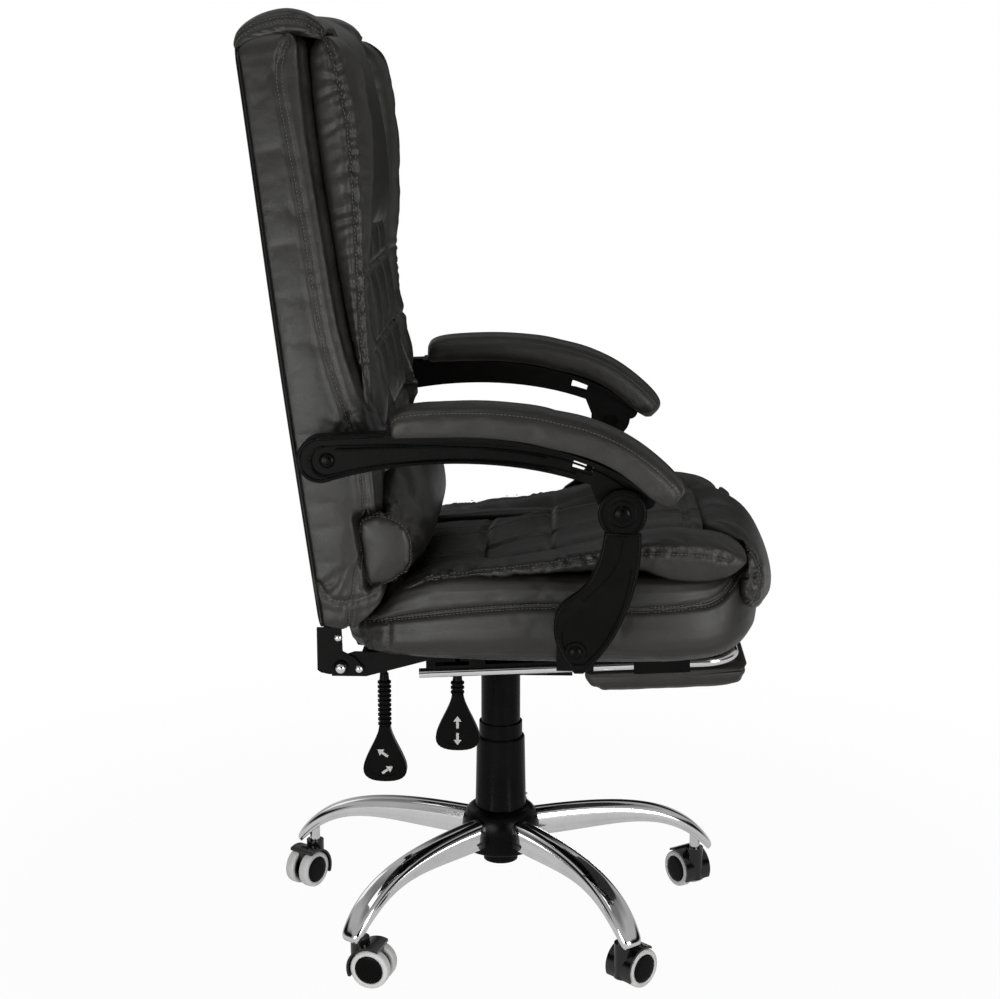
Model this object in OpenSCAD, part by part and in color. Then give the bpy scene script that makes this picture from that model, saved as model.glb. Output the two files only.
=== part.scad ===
/* [Base] */
// Diameter of the circle on which the caster stems stand
stem_circle_d = 560; // [500:10:640]
// Direction of the first leg in degrees, turned from straight ahead
leg_turn = 17; // [0:1:35]
// Width of a leg at the hub
leg_root_w = 30; // [24:1:34]
// Width of a leg at its tip
leg_tip_w = 35; // [30:1:42]
// Height of the hub's underside above the floor
hub_z = 99; // [90:1:115]
// Height of the hub
hub_h = 47; // [42:1:56]
// Distance from the hub's centre to the flats that carry the legs
hub_flat = 38; // [34:1:41]
// Diameter of the plastic cover over the hub
hub_cover_d = 104; // [100:1:116]

/* [Casters] */
// Diameter of a caster wheel
wheel_d = 50; // [44:1:56]
// Width of one wheel of a pair
wheel_w = 14; // [10:1:16]
// Distance of the wheel axle behind the stem
caster_trail = 18; // [14:1:22]
// Diameter of the caster's steel stem
stem_d = 10; // [8:1:11]
// Diameter of the wheel axle
axle_d = 6; // [5:1:8]

/* [Column] */
// Diameter of the outer column tube
column_d = 46; // [42:1:47]
// Height of the outer column tube's top
column_top_z = 244; // [225:1:250]
// Diameter of the gas cylinder that slides in the column
cylinder_d = 28; // [24:1:32]
// Diameter of the top telescopic cover
cover_top_d = 52; // [51:0.5:54]
// Wall of the middle telescopic cover
cover_wall = 2.5; // [2:0.5:4]

/* [Seat] */
// Height of the seat cushion's underside
seat_z = 427; // [410:1:450]
// Height of the cushion's side
seat_side_h = 105; // [90:1:120]
// Full width of the seat cushion
seat_w = 524; // [490:2:528]
// Place of the seat's front edge, ahead of the column
seat_front_x = 306; // [290:1:330]
// Place of the seat's rear edge, behind the column
seat_rear_x = 183; // [175:1:190]
// Height of the tufted centre above the cushion's side, at the front
tuft_h = 42; // [30:1:50]
// Spacing of the sewn channels
channel_pitch = 84; // [70:1:100]
// Width of a side bolster
bolster_w = 86; // [70:1:100]
// Height of a side bolster at its fullest
bolster_h = 54; // [40:1:60]
// How far the front roll stands out from the seat's front edge
roll_depth = 43; // [30:1:50]
// Thickness of the plywood board under the seat
board_t = 12; // [9:1:15]

/* [Back] */
// Rearward lean of the back at rest in degrees
back_lean = 7.5; // [4:0.5:12]
// Height of the back cushion along its own slope
back_h = 690; // [640:5:720]
// Width of the back at its widest
back_w = 500; // [470:2:510]
// Width of the back at its top
back_top_w = 430; // [400:2:460]
// Thickness of the main back cushion
back_t = 80; // [70:1:90]
// How far the wings stand forward of the back cushion near the top
wing_h = 60; // [45:1:70]
// Diameter of the lumbar pillow, front to back
lumbar_t = 76; // [60:1:85]
// Thickness of the head pillow's cap above the back cushion
cap_h = 34; // [25:1:40]

/* [Arms] */
// Distance from the chair's middle plane to an armrest's outer face
arm_y = 311.7; // [308:0.1:318]
// Thickness of the armrest frame
arm_t = 24; // [20:1:28]
// Width of the armrest pad
arm_pad_w = 60; // [50:1:70]
// Height of the armrest pad
arm_pad_h = 37; // [28:1:42]
// Thickness of the curved support
support_t = 12; // [10:1:16]
// Radius of the disc at the support's upper pivot
pivot_disc_r = 28; // [25:1:31]

/* [Footrest] */
// Diameter of the chrome footrest tube
tube_d = 12; // [10:1:14]
// Distance of each footrest tube from the middle plane
tube_y = 200; // [190:1:206]
// Length of the footrest pad, front to back
pad_l = 199; // [170:1:210]
// Width of the footrest pad
pad_w = 320; // [280:2:330]
// Thickness of the footrest pad with its board
pad_t = 38; // [30:1:42]

/* [Levers] */
// Length of the ribbed sleeve on the recline lever
recline_sleeve_l = 68; // [50:1:74]
// Length of the ribbed sleeve on the lift lever
lift_sleeve_l = 26; // [20:1:44]
// Length of a lever's paddle
paddle_l = 72; // [60:1:80]
// Width of a lever's paddle
paddle_w = 54; // [44:1:60]

/* [Hidden] */
LEGS = 5;

$fn = 48;
fit = 0.08;          // radial clearance of a turning or sliding fit
seat_gap = 0.3;      // gap between pieces that rest on each other
black = "#1c1b1a";
leather = "#2b2927";
chrome = "#c9ccd0";
steel = "#8d9094";

// Plain helpers
function rise(t) = t <= 0 ? 0 : t >= 1 ? 1 : t*t*(3 - 2*t);
function mix(a, b, t) = a + (b - a)*t;
function bez(p, t) = let (s = 1 - t)
    s*s*s*p[0] + 3*s*s*t*p[1] + 3*s*t*t*p[2] + t*t*t*p[3];
function curve(p, n, from = 0) = [for (i = [from:n]) bez(p, i/n)];
function unit(v) = v/norm(v);
function turned(v) = [-v[1], v[0]];

// Cylinder across the chair, centred on its middle
module along_y(d, w) {
    rotate([90, 0, 0]) cylinder(d = d, h = w, center = true);
}
// Flat piece drawn in the side view and given a thickness from y0 outward
module plate(y0, t) {
    translate([0, y0 + t, 0]) rotate([90, 0, 0]) linear_extrude(t) children();
}

// Closed skin through rings of points, each ring with the same count, with a fan at both ends
module skin(rings) {
    n = len(rings[0]);
    m = len(rings);
    function centre(r) = [for (k = [0:2]) let (c = [for (p = r) p[k]]) c*[for (p = r) 1]/n];
    points = concat([for (r = rings) each r], [centre(rings[0]), centre(rings[m - 1])]);
    sides = [for (j = [0:m - 2]) for (i = [0:n - 1]) let (a = j*n + i, b = j*n + (i + 1)%n)
        each [[a, b, b + n], [a, b + n, a + n]]];
    starts = [for (i = [0:n - 1]) [m*n, (i + 1)%n, i]];
    ends = [for (i = [0:n - 1]) [m*n + 1, (m - 1)*n + i, (m - 1)*n + (i + 1)%n]];
    polyhedron(points, [for (f = concat(sides, starts, ends)) [f[2], f[1], f[0]]]);
}

// Border of an nx by ny grid, walked once round, as pairs of u and v between -1 and 1
function border(nx, ny) = concat(
    [for (i = [0:nx - 1]) [2*i/nx - 1, -1]], [for (j = [0:ny - 1]) [1, 2*j/ny - 1]],
    [for (i = [nx:-1:1]) [2*i/nx - 1, 1]], [for (j = [ny:-1:1]) [-1, 2*j/ny - 1]]);
function border_index(nx, ny) = concat(
    [for (i = [0:nx - 1]) i], [for (j = [0:ny - 1]) nx + j*(nx + 1)],
    [for (i = [nx:-1:1]) ny*(nx + 1) + i], [for (j = [ny:-1:1]) j*(nx + 1)]);

// Cushion on a grid: side(u, v, k) gives the point of the border at level k, counted up from
// the underside, and top(u, v) gives the crowned upper face
module cushion(nx, ny, levels, side, top) {
    rim = border(nx, ny);
    at = border_index(nx, ny);
    n = len(rim);
    g = (nx + 1)*(ny + 1);
    face = [for (j = [0:ny]) for (i = [0:nx]) top(2*i/nx - 1, 2*j/ny - 1)];
    rings = [for (k = [0:levels - 1]) for (w = rim) side(w[0], w[1], k)];
    foot = [for (i = [0:n - 1]) rings[i]];
    middle = [for (k = [0:2]) let (c = [for (p = foot) p[k]]) c*[for (p = foot) 1]/n];
    cells = [for (j = [0:ny - 1]) for (i = [0:nx - 1]) let (a = j*(nx + 1) + i, b = a + nx + 1)
        each [[a, a + 1, b + 1], [a, b + 1, b]]];
    walls = [for (k = [0:levels - 2]) for (i = [0:n - 1])
        let (a = g + k*n + i, b = g + k*n + (i + 1)%n) each [[a, b, b + n], [a, b + n, a + n]]];
    last = g + (levels - 1)*n;
    joint = [for (i = [0:n - 1]) let (j = (i + 1)%n)
        each [[last + i, last + j, at[j]], [last + i, at[j], at[i]]]];
    under = [for (i = [0:n - 1]) [g + levels*n, g + (i + 1)%n, g + i]];
    polyhedron(concat(face, rings, [middle]),
        [for (f = concat(cells, walls, joint, under)) [f[2], f[1], f[0]]]);
}

// Plan of a cushion with half sizes a and b and softly rounded corners
function plan(u, v, a, b, k = 0.1) = [a*u*(1 - k*pow(v, 6)), b*v*(1 - k*pow(u, 6))];
// Depth of a sewn channel at a distance from its line
function groove(x, w) = exp(-x*x/(w*w));
// Distance from the nearest line of an even set of lines
function off_line(x, pitch) = abs(x - pitch*round(x/pitch));

// Base: hub, legs and sockets
stem_r = stem_circle_d/2;
hood_gap = 0.4;
boss_top_z = wheel_d + 10;
socket_d = stem_d + 4;
socket_z = boss_top_z + hood_gap;
socket_top_z = socket_z + 18.6;
hub_top_z = hub_z + hub_h;
root_in = 6;
leg_top = [[hub_flat - root_in, hub_top_z - 4], [stem_r*0.607, hub_top_z + 2], [stem_r*0.936, hub_top_z - 8],
    [stem_r + 23, socket_z + 6]];
leg_under = [[hub_flat - root_in, hub_z + 8], [stem_r*0.571, hub_z + 7], [stem_r*0.814, hub_z + 39],
    [stem_r + 17, socket_z - 3]];

module legwise() {
    for (i = [0:LEGS - 1]) rotate([0, 0, leg_turn + i*360/LEGS]) children();
}
module leg_solid() {
    steps = 14;
    arc = 8;
    skin([for (i = [0:steps]) let (t = i/steps, hi = bez(leg_top, t), lo = bez(leg_under, t),
        w = mix(leg_root_w, leg_tip_w, rise(t*1.2 - 0.2))*(1 - 0.25*pow(t, 12))/2)
        concat([[lo[0], -0.9*w, lo[1]], [lo[0], 0.9*w, lo[1]]],
        [for (a = [0:arc]) let (q = 180*a/arc, f = 0.4 + 0.6*sin(q), p = lo + (hi - lo)*f)
            [p[0], w*cos(q), p[1]]])]);
}
module base_frame() {
    color(chrome) {
        difference() {
            translate([0, 0, hub_z]) rotate([0, 0, leg_turn + 180/LEGS])
                cylinder(r = hub_flat/cos(180/LEGS), h = hub_h, $fn = LEGS);
            translate([0, 0, hub_z - 1]) cylinder(d = column_d + 2*fit, h = hub_h + 2);
        }
        legwise() difference() {
            leg_solid();
            translate([stem_r, 0, socket_z - 20])
                cylinder(d = socket_d + 2*fit, h = socket_top_z - socket_z + 20);
        }
    }
}
module stem_sockets() {
    color(chrome) legwise() translate([stem_r, 0, socket_z]) difference() {
        cylinder(d = socket_d, h = socket_top_z - socket_z);
        translate([0, 0, -1]) cylinder(d = stem_d + 2*fit, h = 18.6);
    }
}
hub_cover_top_z = hub_top_z + 6;
module hub_cover() {
    r = hub_cover_d/2;
    color(black) difference() {
        rotate_extrude() polygon(concat(
            [[column_d/2 + seat_gap, hub_z - 3], [r, hub_z - 3]],
            curve([[r, hub_z + 20], [r, hub_top_z - 6], [r - 8, hub_cover_top_z],
                [cover_foot_d/2, hub_cover_top_z]], 8),
            [[column_d/2 + seat_gap, hub_cover_top_z]]));
        translate([0, 0, hub_z - 4]) rotate([0, 0, leg_turn + 180/LEGS])
            cylinder(r = (hub_flat + seat_gap)/cos(180/LEGS), h = hub_h + 4 + seat_gap, $fn = LEGS);
        legwise() translate([hub_flat - 4, -leg_root_w/2 - seat_gap, hub_z - 4])
            cube([hub_cover_d, leg_root_w + 2*seat_gap, hub_h + 2]);
    }
}

// Column: outer tube, gas spring and telescopic covers
cover_mid_d = cover_top_d + 2*seat_gap + 2*cover_wall;
cover_low_in = cover_mid_d + 2*seat_gap;
cover_low_d = cover_low_in + 6;
cover_foot_d = cover_low_d + 4;
cover_low_top_z = column_top_z + 6;
tube_foot_z = hub_z - 24;
bush_h = 60;
rod_d = 10;
piston_z = 216;
cylinder_foot_z = 150;
mech_z = seat_z - 79;
cylinder_top_z = mech_z + 50;
seal_h = 14;
cover_up_top_z = mech_z - 3;
cover_up_z = cover_low_top_z - 32;
cover_lid = 3;
cover_mid_z = cover_low_top_z - 66;
cover_mid_h = 86;
button_d = 8;
button_h = 13;

module ring(do, di, h) {
    difference() {
        cylinder(d = do, h = h);
        translate([0, 0, -1]) cylinder(d = di, h = h + 2);
    }
}
module column_tube() {
    color(steel) translate([0, 0, tube_foot_z]) difference() {
        cylinder(d = column_d, h = column_top_z - tube_foot_z);
        translate([0, 0, 4]) cylinder(d = column_d - 4, h = column_top_z - tube_foot_z - bush_h - 4);
        translate([0, 0, 4]) cylinder(d = cylinder_d + 2*fit, h = column_top_z);
        translate([0, 0, -1]) cylinder(d = rod_d + 2*fit, h = 10);
    }
}
module piston_rod() {
    color(chrome) {
        translate([0, 0, tube_foot_z + 4 + seat_gap]) cylinder(d = cylinder_d - 4, h = 4);
        translate([0, 0, tube_foot_z]) cylinder(d = rod_d, h = piston_z - tube_foot_z);
        translate([0, 0, piston_z]) cylinder(d = cylinder_d - 6 - 2*fit, h = 12);
    }
}
module cover_lower() {
    color(black) translate([0, 0, hub_cover_top_z]) rotate_extrude() polygon([
        [cover_low_in/2, 0], [cover_foot_d/2, 0], [cover_foot_d/2 - 0.5, 20],
        [cover_low_d/2, cover_low_top_z - hub_cover_top_z - 2],
        [cover_low_d/2 - 1, cover_low_top_z - hub_cover_top_z],
        [cover_low_in/2, cover_low_top_z - hub_cover_top_z]]);
}
module cover_middle() {
    color(black) translate([0, 0, cover_mid_z]) ring(cover_mid_d, cover_top_d + 2*seat_gap, cover_mid_h);
}
module lift_cylinder() {
    color(steel) translate([0, 0, cylinder_foot_z]) difference() {
        cylinder(d = cylinder_d, h = cylinder_top_z - cylinder_foot_z);
        translate([0, 0, seal_h]) cylinder(d = cylinder_d - 6, h = piston_z + 80 - cylinder_foot_z);
        translate([0, 0, -1]) cylinder(d = rod_d + 2*fit, h = seal_h + 2);
        translate([0, 0, cylinder_top_z - cylinder_foot_z - 12])
            cylinder(d = button_d + 2*fit, h = button_h);
    }
}
module cover_upper() {
    h = cover_up_top_z - cover_up_z;
    color(black) translate([0, 0, cover_up_z]) difference() {
        cylinder(d = cover_top_d, h = h);
        translate([0, 0, -cover_lid]) cylinder(d = cover_top_d - 3, h = h);
        translate([0, 0, -1]) cylinder(d = cylinder_d + 2*fit, h = cover_up_top_z);
    }
}
button_top_z = cylinder_top_z + 5;
module lift_button() {
    color(chrome) translate([0, 0, button_top_z - button_h]) cylinder(d = button_d, h = button_h);
}

// Mechanism under the seat, its strut and its levers
mech_l = 190;
mech_half = 61;
wall = 3;
plate_t = 4;
plate_z = seat_z - seat_gap - plate_t;
tray_z = mech_z + 4;
flange_w = 24;
clamp_wall = 6;
clamp_h = 44;
bolt_d = 6;
bolt_head = 4;
mech_bolts = [for (x = [-1, 1]) for (y = [-1, 1]) [x*(mech_l/2 - 25), y*(mech_half + 14)]];
hinge = [-187, seat_z - 18];
crank_drop = 38;
pin_d = 10;
pin_slack = 1.8;
strut_y = 40;
strut_d = 20;
strut_l = 130;
strut_rod_d = 10;
eye_w = 16;
strut_front = [40, hinge[1] - crank_drop];
lever_z = button_top_z + 4.3;
lever_pivot_y = -30;
lever_y = -170;
lever_d = 8;
lever_pin_d = lever_d + 2;
lift_lever_x = -48;
recline_lever_x = -139;
ear_gap = 10;
ear_t = 3;
ear_w = 20;

// Pair of ears that carry a lever's cross pin
module lever_ears(x) {
    for (side = [-ear_gap - ear_t, ear_gap]) translate([x + side, lever_pivot_y, lever_z]) difference() {
        translate([0, -ear_w/2, -9]) cube([ear_t, ear_w, plate_z - lever_z + 9]);
        translate([-1, 0, 0]) rotate([0, 90, 0]) cylinder(d = lever_pin_d + 2*fit, h = ear_t + 2);
    }
}
module mechanism() {
    inside = mech_half - wall;
    tongue_l = 60;
    color(black) {
        difference() {
            union() {
                translate([-mech_l/2, -mech_half, tray_z]) cube([mech_l, 2*mech_half, plate_z - tray_z]);
                translate([-mech_l/2 - 15, -mech_half - flange_w, plate_z])
                    cube([mech_l + 30, 2*mech_half + 2*flange_w, plate_t]);
                translate([recline_lever_x - ear_gap - ear_t - 5, lever_pivot_y - 16, plate_z])
                    cube([tongue_l, 32, plate_t]);
            }
            translate([-mech_l, -inside, tray_z + plate_t])
                cube([2*mech_l, 2*inside, plate_z - tray_z - plate_t]);
            for (b = mech_bolts) translate([b[0], b[1], plate_z - 1])
                cylinder(d = bolt_d + 0.4, h = plate_t + 2);
            translate([lift_lever_x, -mech_half, lever_z])
                cube([lever_d + 8, 4*wall, lever_d + 14], center = true);
            translate([0, 0, mech_z]) cylinder(d = cylinder_d + clamp_wall, h = 20);
        }
        translate([0, 0, mech_z]) ring(cylinder_d + 2*clamp_wall, cylinder_d + 2*fit, clamp_h);
        translate([strut_front[0], mech_half - wall, strut_front[1]]) rotate([90, 0, 0])
            cylinder(d = pin_d, h = mech_half - wall - strut_y + eye_w);
        lever_ears(lift_lever_x);
        lever_ears(recline_lever_x);
    }
}
module seat_bolts() {
    color(steel) for (b = mech_bolts) translate([b[0], b[1], plate_z]) {
        translate([0, 0, -bolt_head]) cylinder(d = 13, h = bolt_head, $fn = 6);
        cylinder(d = bolt_d, h = board_t);
    }
}
module strut_cylinder() {
    color(black) translate([strut_front[0], strut_y, strut_front[1]]) difference() {
        union() {
            along_y(strut_d, eye_w);
            translate([-4, 0, 0]) rotate([0, -90, 0]) cylinder(d = strut_d, h = strut_l);
        }
        along_y(pin_d + 2*fit, eye_w + 4);
        translate([-strut_d, 0, 0]) rotate([0, -90, 0]) cylinder(d = strut_rod_d + 2*fit, h = strut_l);
    }
}
module strut_rod() {
    eye_d = pin_d + 2*pin_slack + 6;
    color(chrome) translate([hinge[0], strut_y, strut_front[1]]) difference() {
        union() {
            along_y(eye_d, 12);
            translate([6, 0, 0]) rotate([0, 90, 0]) cylinder(d = strut_rod_d, h = strut_l);
        }
        along_y(pin_d + 2*pin_slack, 20);
    }
}

// Lever: a rod out of the mechanism, bent down into a ribbed sleeve and a flat paddle
bend_r = 14;
module lever_rod(x, tongue) {
    cross_l = 2*(ear_gap + ear_t) + 2;
    tongue_t = 5;
    color(steel) translate([x, 0, lever_z]) {
        translate([0, lever_pivot_y, 0]) rotate([90, 0, 0])
            cylinder(d = lever_d, h = lever_pivot_y - lever_y - bend_r);
        translate([0, lever_y + bend_r, -bend_r]) rotate([90, 0, -90]) rotate_extrude(angle = 90)
            translate([bend_r, 0]) circle(d = lever_d);
        translate([0, lever_y, -bend_r - 6]) cylinder(d = lever_d, h = 6);
        translate([0, lever_pivot_y, 0]) rotate([0, 90, 0])
            cylinder(d = lever_pin_d, h = cross_l, center = true);
        if (tongue) {
            translate([-lever_d, lever_pivot_y, -4]) cube([2*lever_d, 6 - lever_pivot_y, tongue_t]);
            translate([-lever_d, -6, -4]) cube([14 - x, 12, tongue_t]);
        }
    }
}
sleeve_top_z = lever_z - bend_r - 6;
rib_pitch = 6;
module lever_sleeve(x, sleeve_l) {
    ribs = floor((sleeve_l - rib_pitch)/rib_pitch);
    outer = 8.5;
    root = 6.6;
    color(black) translate([x, lever_y, sleeve_top_z - sleeve_l]) rotate_extrude() polygon(concat([[0, 0]],
        [for (i = [0:ribs - 1]) let (z = i*rib_pitch)
            each [[root, z + 0.2], [outer, z + 1.4], [outer, z + 3.6], [root, z + 4.8]]],
        [[root - 0.6, ribs*rib_pitch], [5.4, sleeve_l], [0, sleeve_l]]));
}
paddle_t = 10;
module lever_paddle(x, sleeve_l) {
    w = paddle_w/2;
    l = paddle_l;
    half = concat(curve([[7, 0], [8, -l*0.2], [w*0.75, -l*0.42], [w*0.98, -l*0.68]], 8),
        curve([[w*0.98, -l*0.68], [w*1.16, -l*0.95], [w*0.6, -l], [0, -l]], 8, 1));
    outline = concat(half, [for (i = [len(half) - 2:-1:0]) [-half[i][0], half[i][1]]]);
    recess = 0.74;
    middle = -l*0.62;
    top_z = sleeve_top_z - sleeve_l - seat_gap;
    color(black) translate([x, lever_y, top_z]) rotate([90, 0, 0]) difference() {
        translate([0, 0, -paddle_t/2]) linear_extrude(paddle_t) polygon(outline);
        translate([0, middle, paddle_t/2 - 0.8]) linear_extrude(2)
            polygon([for (p = outline) [p[0]*recess, (p[1] - middle)*recess]]);
    }
}
module lift_lever_rod() { lever_rod(lift_lever_x, true); }
module lift_lever_sleeve() { lever_sleeve(lift_lever_x, lift_sleeve_l); }
module lift_lever_paddle() { lever_paddle(lift_lever_x, lift_sleeve_l); }
module recline_lever_rod() { lever_rod(recline_lever_x, false); }
module recline_lever_sleeve() { lever_sleeve(recline_lever_x, recline_sleeve_l); }
module recline_lever_paddle() { lever_paddle(recline_lever_x, recline_sleeve_l); }

// Seat
seat_mid_x = (seat_front_x - seat_rear_x)/2;
seat_top_z = seat_z + seat_side_h;
board_inset = [60, 105, 70];
snug = [seat_gap, seat_gap, seat_gap];
// Local height of the cushion's side, which falls away under the back
function side_h(x) = seat_side_h*mix(0.33, 1, rise((x + seat_rear_x - 8)/105));
// Border of the seat with its own inset at the sides, the rear and the front
function seat_rim(u, v, in) = let (
    a = u < 0 ? seat_mid_x + seat_rear_x - in[1] : seat_front_x - seat_mid_x - in[2],
    w = (seat_w/2 - in[0])*(1 - 0.05*rise(-u))) plan(u, v, a, w) + [seat_mid_x, 0];
// Side profile: insets at the sides, the rear and the front, and the height as a share of the side
seat_levels = [[board_inset, board_t/seat_side_h], [board_inset, 0], [[14, 14, 48], 0], [[5, 5, 24], 0.08],
    [[0, 0, 8], 0.27], [[3, 3, 3], 0.5], [[0, 0, 0], 0.74], [[6, 6, 3], 0.94]];

module seat_cushion() {
    color(leather) cushion(16, 12, len(seat_levels),
        function(u, v, k) let (p = seat_rim(u, v, seat_levels[k][0]))
            [p[0], p[1], seat_z + seat_levels[k][1]*side_h(p[0])],
        function(u, v) let (p = seat_rim(u, v, [14, 14, 8])) [p[0], p[1], seat_z + side_h(p[0])]);
}
module seat_board() {
    color("#b08a5a") translate([0, 0, seat_z]) difference() {
        linear_extrude(board_t - seat_gap)
            polygon([for (w = border(16, 12)) seat_rim(w[0], w[1], board_inset + snug)]);
        for (b = mech_bolts) translate([b[0], b[1], -1]) cylinder(d = bolt_d + 2*fit, h = board_t - 2.5);
    }
}
seam_w = 9;
pad_rear_x = -92;
pad_front_x = seat_front_x - 66;
tuft_half = seat_w/2 - bolster_w - 4;
// Thickness of the pads on top of the seat, low at the rear and full in front
function tuft_t(x) = mix(13, tuft_h, rise((x - pad_rear_x)/270));
module seat_centre_pad() {
    a = (pad_front_x - pad_rear_x)/2;
    mid = (pad_front_x + pad_rear_x)/2;
    insets = [3, 0, 2];
    heights = [0, 0.35, 0.75];
    color(leather) cushion(16, 16, 3,
        function(u, v, k) let (p = plan(u, v, a - insets[k], tuft_half - insets[k], 0.03) + [mid, 0])
            [p[0], p[1], seat_top_z + seat_gap + heights[k]*tuft_t(p[0])],
        function(u, v) let (p = plan(u, v, a - 7, tuft_half - 6, 0.03) + [mid, 0],
            crown = 1 + 0.1*(1 - u*u)*(1 - v*v),
            sewn = max(groove(off_line(p[0] - mid, channel_pitch), seam_w),
                groove(off_line(p[1], channel_pitch), seam_w)))
            [p[0], p[1], seat_top_z + seat_gap + tuft_t(p[0])*(crown - 0.22*sewn)]);
}
bolster_front_x = seat_front_x - 8;
function bolster_t(x) = mix(15, bolster_h, rise((x - pad_rear_x)/250))
    *mix(0.45, 1, rise((bolster_front_x - x)/60));
function bolster_y(u, s) = s*(seat_w/2 + 1 - bolster_w/2)*(1 - 0.03*rise(-u));
module seat_bolsters() {
    a = (bolster_front_x - pad_rear_x)/2;
    mid = (bolster_front_x + pad_rear_x)/2;
    insets = [4, 0, 3];
    heights = [0, 0.4, 0.75];
    color(leather) for (s = [-1, 1]) cushion(16, 6, 3,
        function(u, v, k) let (p = plan(u, v, a - insets[k], bolster_w/2 - insets[k], 0.16) + [mid, 0])
            [p[0], p[1] + bolster_y(u, s), seat_top_z + seat_gap + heights[k]*bolster_t(p[0])],
        function(u, v) let (p = plan(u, v, a - 12, bolster_w/2 - 12, 0.16) + [mid, 0])
            [p[0], p[1] + bolster_y(u, s),
            seat_top_z + seat_gap + bolster_t(p[0])*(0.9 + 0.16*(1 - v*v)*(1 - pow(u, 6)))]);
}
// Stations across the width, closer together near the ends
function across(n) = [for (i = [0:n]) sin(90*(2*i/n - 1))];
roll_inset = 24;
roll_half = seat_w/2 - roll_inset;
module seat_front_roll() {
    x0 = seat_front_x + seat_gap;
    z0 = seat_top_z + seat_gap;
    color(leather) skin([for (v = across(18)) let (y = v*roll_half,
        full = 1 - 0.75*pow(abs(v), 8), inner = 1 - rise((abs(y) - tuft_half + 18)/14),
        back = mix(2, seat_front_x - pad_front_x - 1, inner), deep = roll_depth*full,
        high = mix(24, tuft_h + 14, inner)*mix(0.7, 1, full), drop = mix(70, 92, full))
        [for (p = concat([[0, 0]],
            curve([[-back, 0], [-back*1.02, high*0.95], [-back*0.45, high*1.12], [deep*0.1, high*0.85]], 6),
            curve([[deep*0.1, high*0.85], [deep*0.9, high*0.5], [deep*1.25, -drop*0.2],
                [deep*0.85, -drop*0.62]], 7, 1),
            curve([[deep*0.85, -drop*0.62], [deep*0.62, -drop*0.88], [deep*0.3, -drop], [0, -drop]], 4, 1)))
            [x0 + p[0], y, z0 + p[1]]]]);
}

// Plates that join the back, the arms and the footrest to the seat
hinge_y = 212;
bracket_t = 4;
hinge_flange_w = 34;
module hinge_brackets() {
    under = seat_z - seat_gap;
    color(black) for (s = [0, 1]) mirror([0, s, 0]) {
        difference() {
            plate(hinge_y - bracket_t, bracket_t) polygon([[hinge[0] - 12, hinge[1] - 13],
                [hinge[0] + 30, hinge[1] - 13], [-60, plate_z], [-60, under], [hinge[0] + 16, under],
                [hinge[0] - 12, hinge[1] + 8]]);
            translate([hinge[0], hinge_y, hinge[1]]) along_y(pin_d + 2*fit, 3*bracket_t);
        }
        translate([hinge[0] + 25, hinge_y - hinge_flange_w, plate_z]) cube([102, hinge_flange_w, plate_t]);
    }
}
lower_pivot = [97, seat_z + 35];
upper_pivot = lower_pivot + [52, 164];
rear_pivot = lower_pivot + [-285, 221];
bracket_y = seat_w/2 + 2;
arm_bracket_w = 44;
lower_boss_d = 26;
module arm_brackets() {
    from_x = lower_pivot[0] - arm_bracket_w/2;
    inner_y = mech_half + flange_w + 6;
    color(black) for (s = [0, 1]) mirror([0, s, 0]) {
        translate([from_x, bracket_y, plate_z])
            cube([arm_bracket_w, bracket_t, lower_pivot[1] - plate_z + 18]);
        translate([from_x, inner_y, plate_z])
            cube([arm_bracket_w, bracket_y + bracket_t - inner_y, plate_t]);
        translate([lower_pivot[0], arm_y, lower_pivot[1]]) rotate([90, 0, 0])
            cylinder(d = lower_boss_d, h = arm_y - bracket_y);
    }
}
support_y = arm_y + seat_gap;
// Low domed head of a bolt with a radius and a height
module dome(r, h) {
    rotate_extrude() polygon(concat([[0, 0]], curve([[r, 0], [r, h*0.55], [r*0.62, h], [0, h]], 5)));
}
module pivot_bolts() {
    head_t = 3;
    color(chrome) for (s = [0, 1]) mirror([0, s, 0]) {
        translate([lower_pivot[0], arm_y, lower_pivot[1]]) rotate([-90, 0, 0]) {
            cylinder(d = pin_d, h = support_t + 2*seat_gap);
            translate([0, 0, support_t + 2*seat_gap]) dome(8, 3.5);
        }
        translate([hinge[0], hinge_y - bracket_t - head_t, hinge[1]]) rotate([-90, 0, 0]) {
            cylinder(d = 18, h = head_t);
            cylinder(d = pin_d, h = 2*bracket_t + 4);
            translate([0, 0, 2*bracket_t + 4]) dome(9, 5);
        }
    }
}

// Footrest: tubes that slide out under the seat, with a pad that turns over on the front bar
tube_slope = 3;
tube_rear = [-93, seat_z - 30];
tube_front_x = 293;
tube_bend = 40;
tube_len = (tube_front_x - tube_rear[0])/cos(tube_slope);
pad_axis = [tube_front_x, tube_rear[1] + (tube_front_x - tube_rear[0])*tan(tube_slope)];
module along_tube() {
    translate([tube_rear[0], 0, tube_rear[1]]) rotate([0, -tube_slope, 0]) children();
}
module footrest_tube() {
    straight = tube_len - tube_bend;
    color(chrome) along_tube() {
        for (s = [-1, 1]) {
            translate([0, s*tube_y, 0]) rotate([0, 90, 0]) cylinder(d = tube_d, h = straight);
            translate([straight, s*(tube_y - tube_bend), 0]) rotate([0, 0, s > 0 ? 0 : -90])
                rotate_extrude(angle = 90) translate([tube_bend, 0]) circle(d = tube_d);
        }
        translate([tube_len, 0, 0]) rotate([90, 0, 0])
            cylinder(d = tube_d, h = 2*(tube_y - tube_bend), center = true);
    }
}
guide_x = 262;
guide_l = 68;
guide_w = 22;
rail_x = 20;
rail_w = 16;
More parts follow.
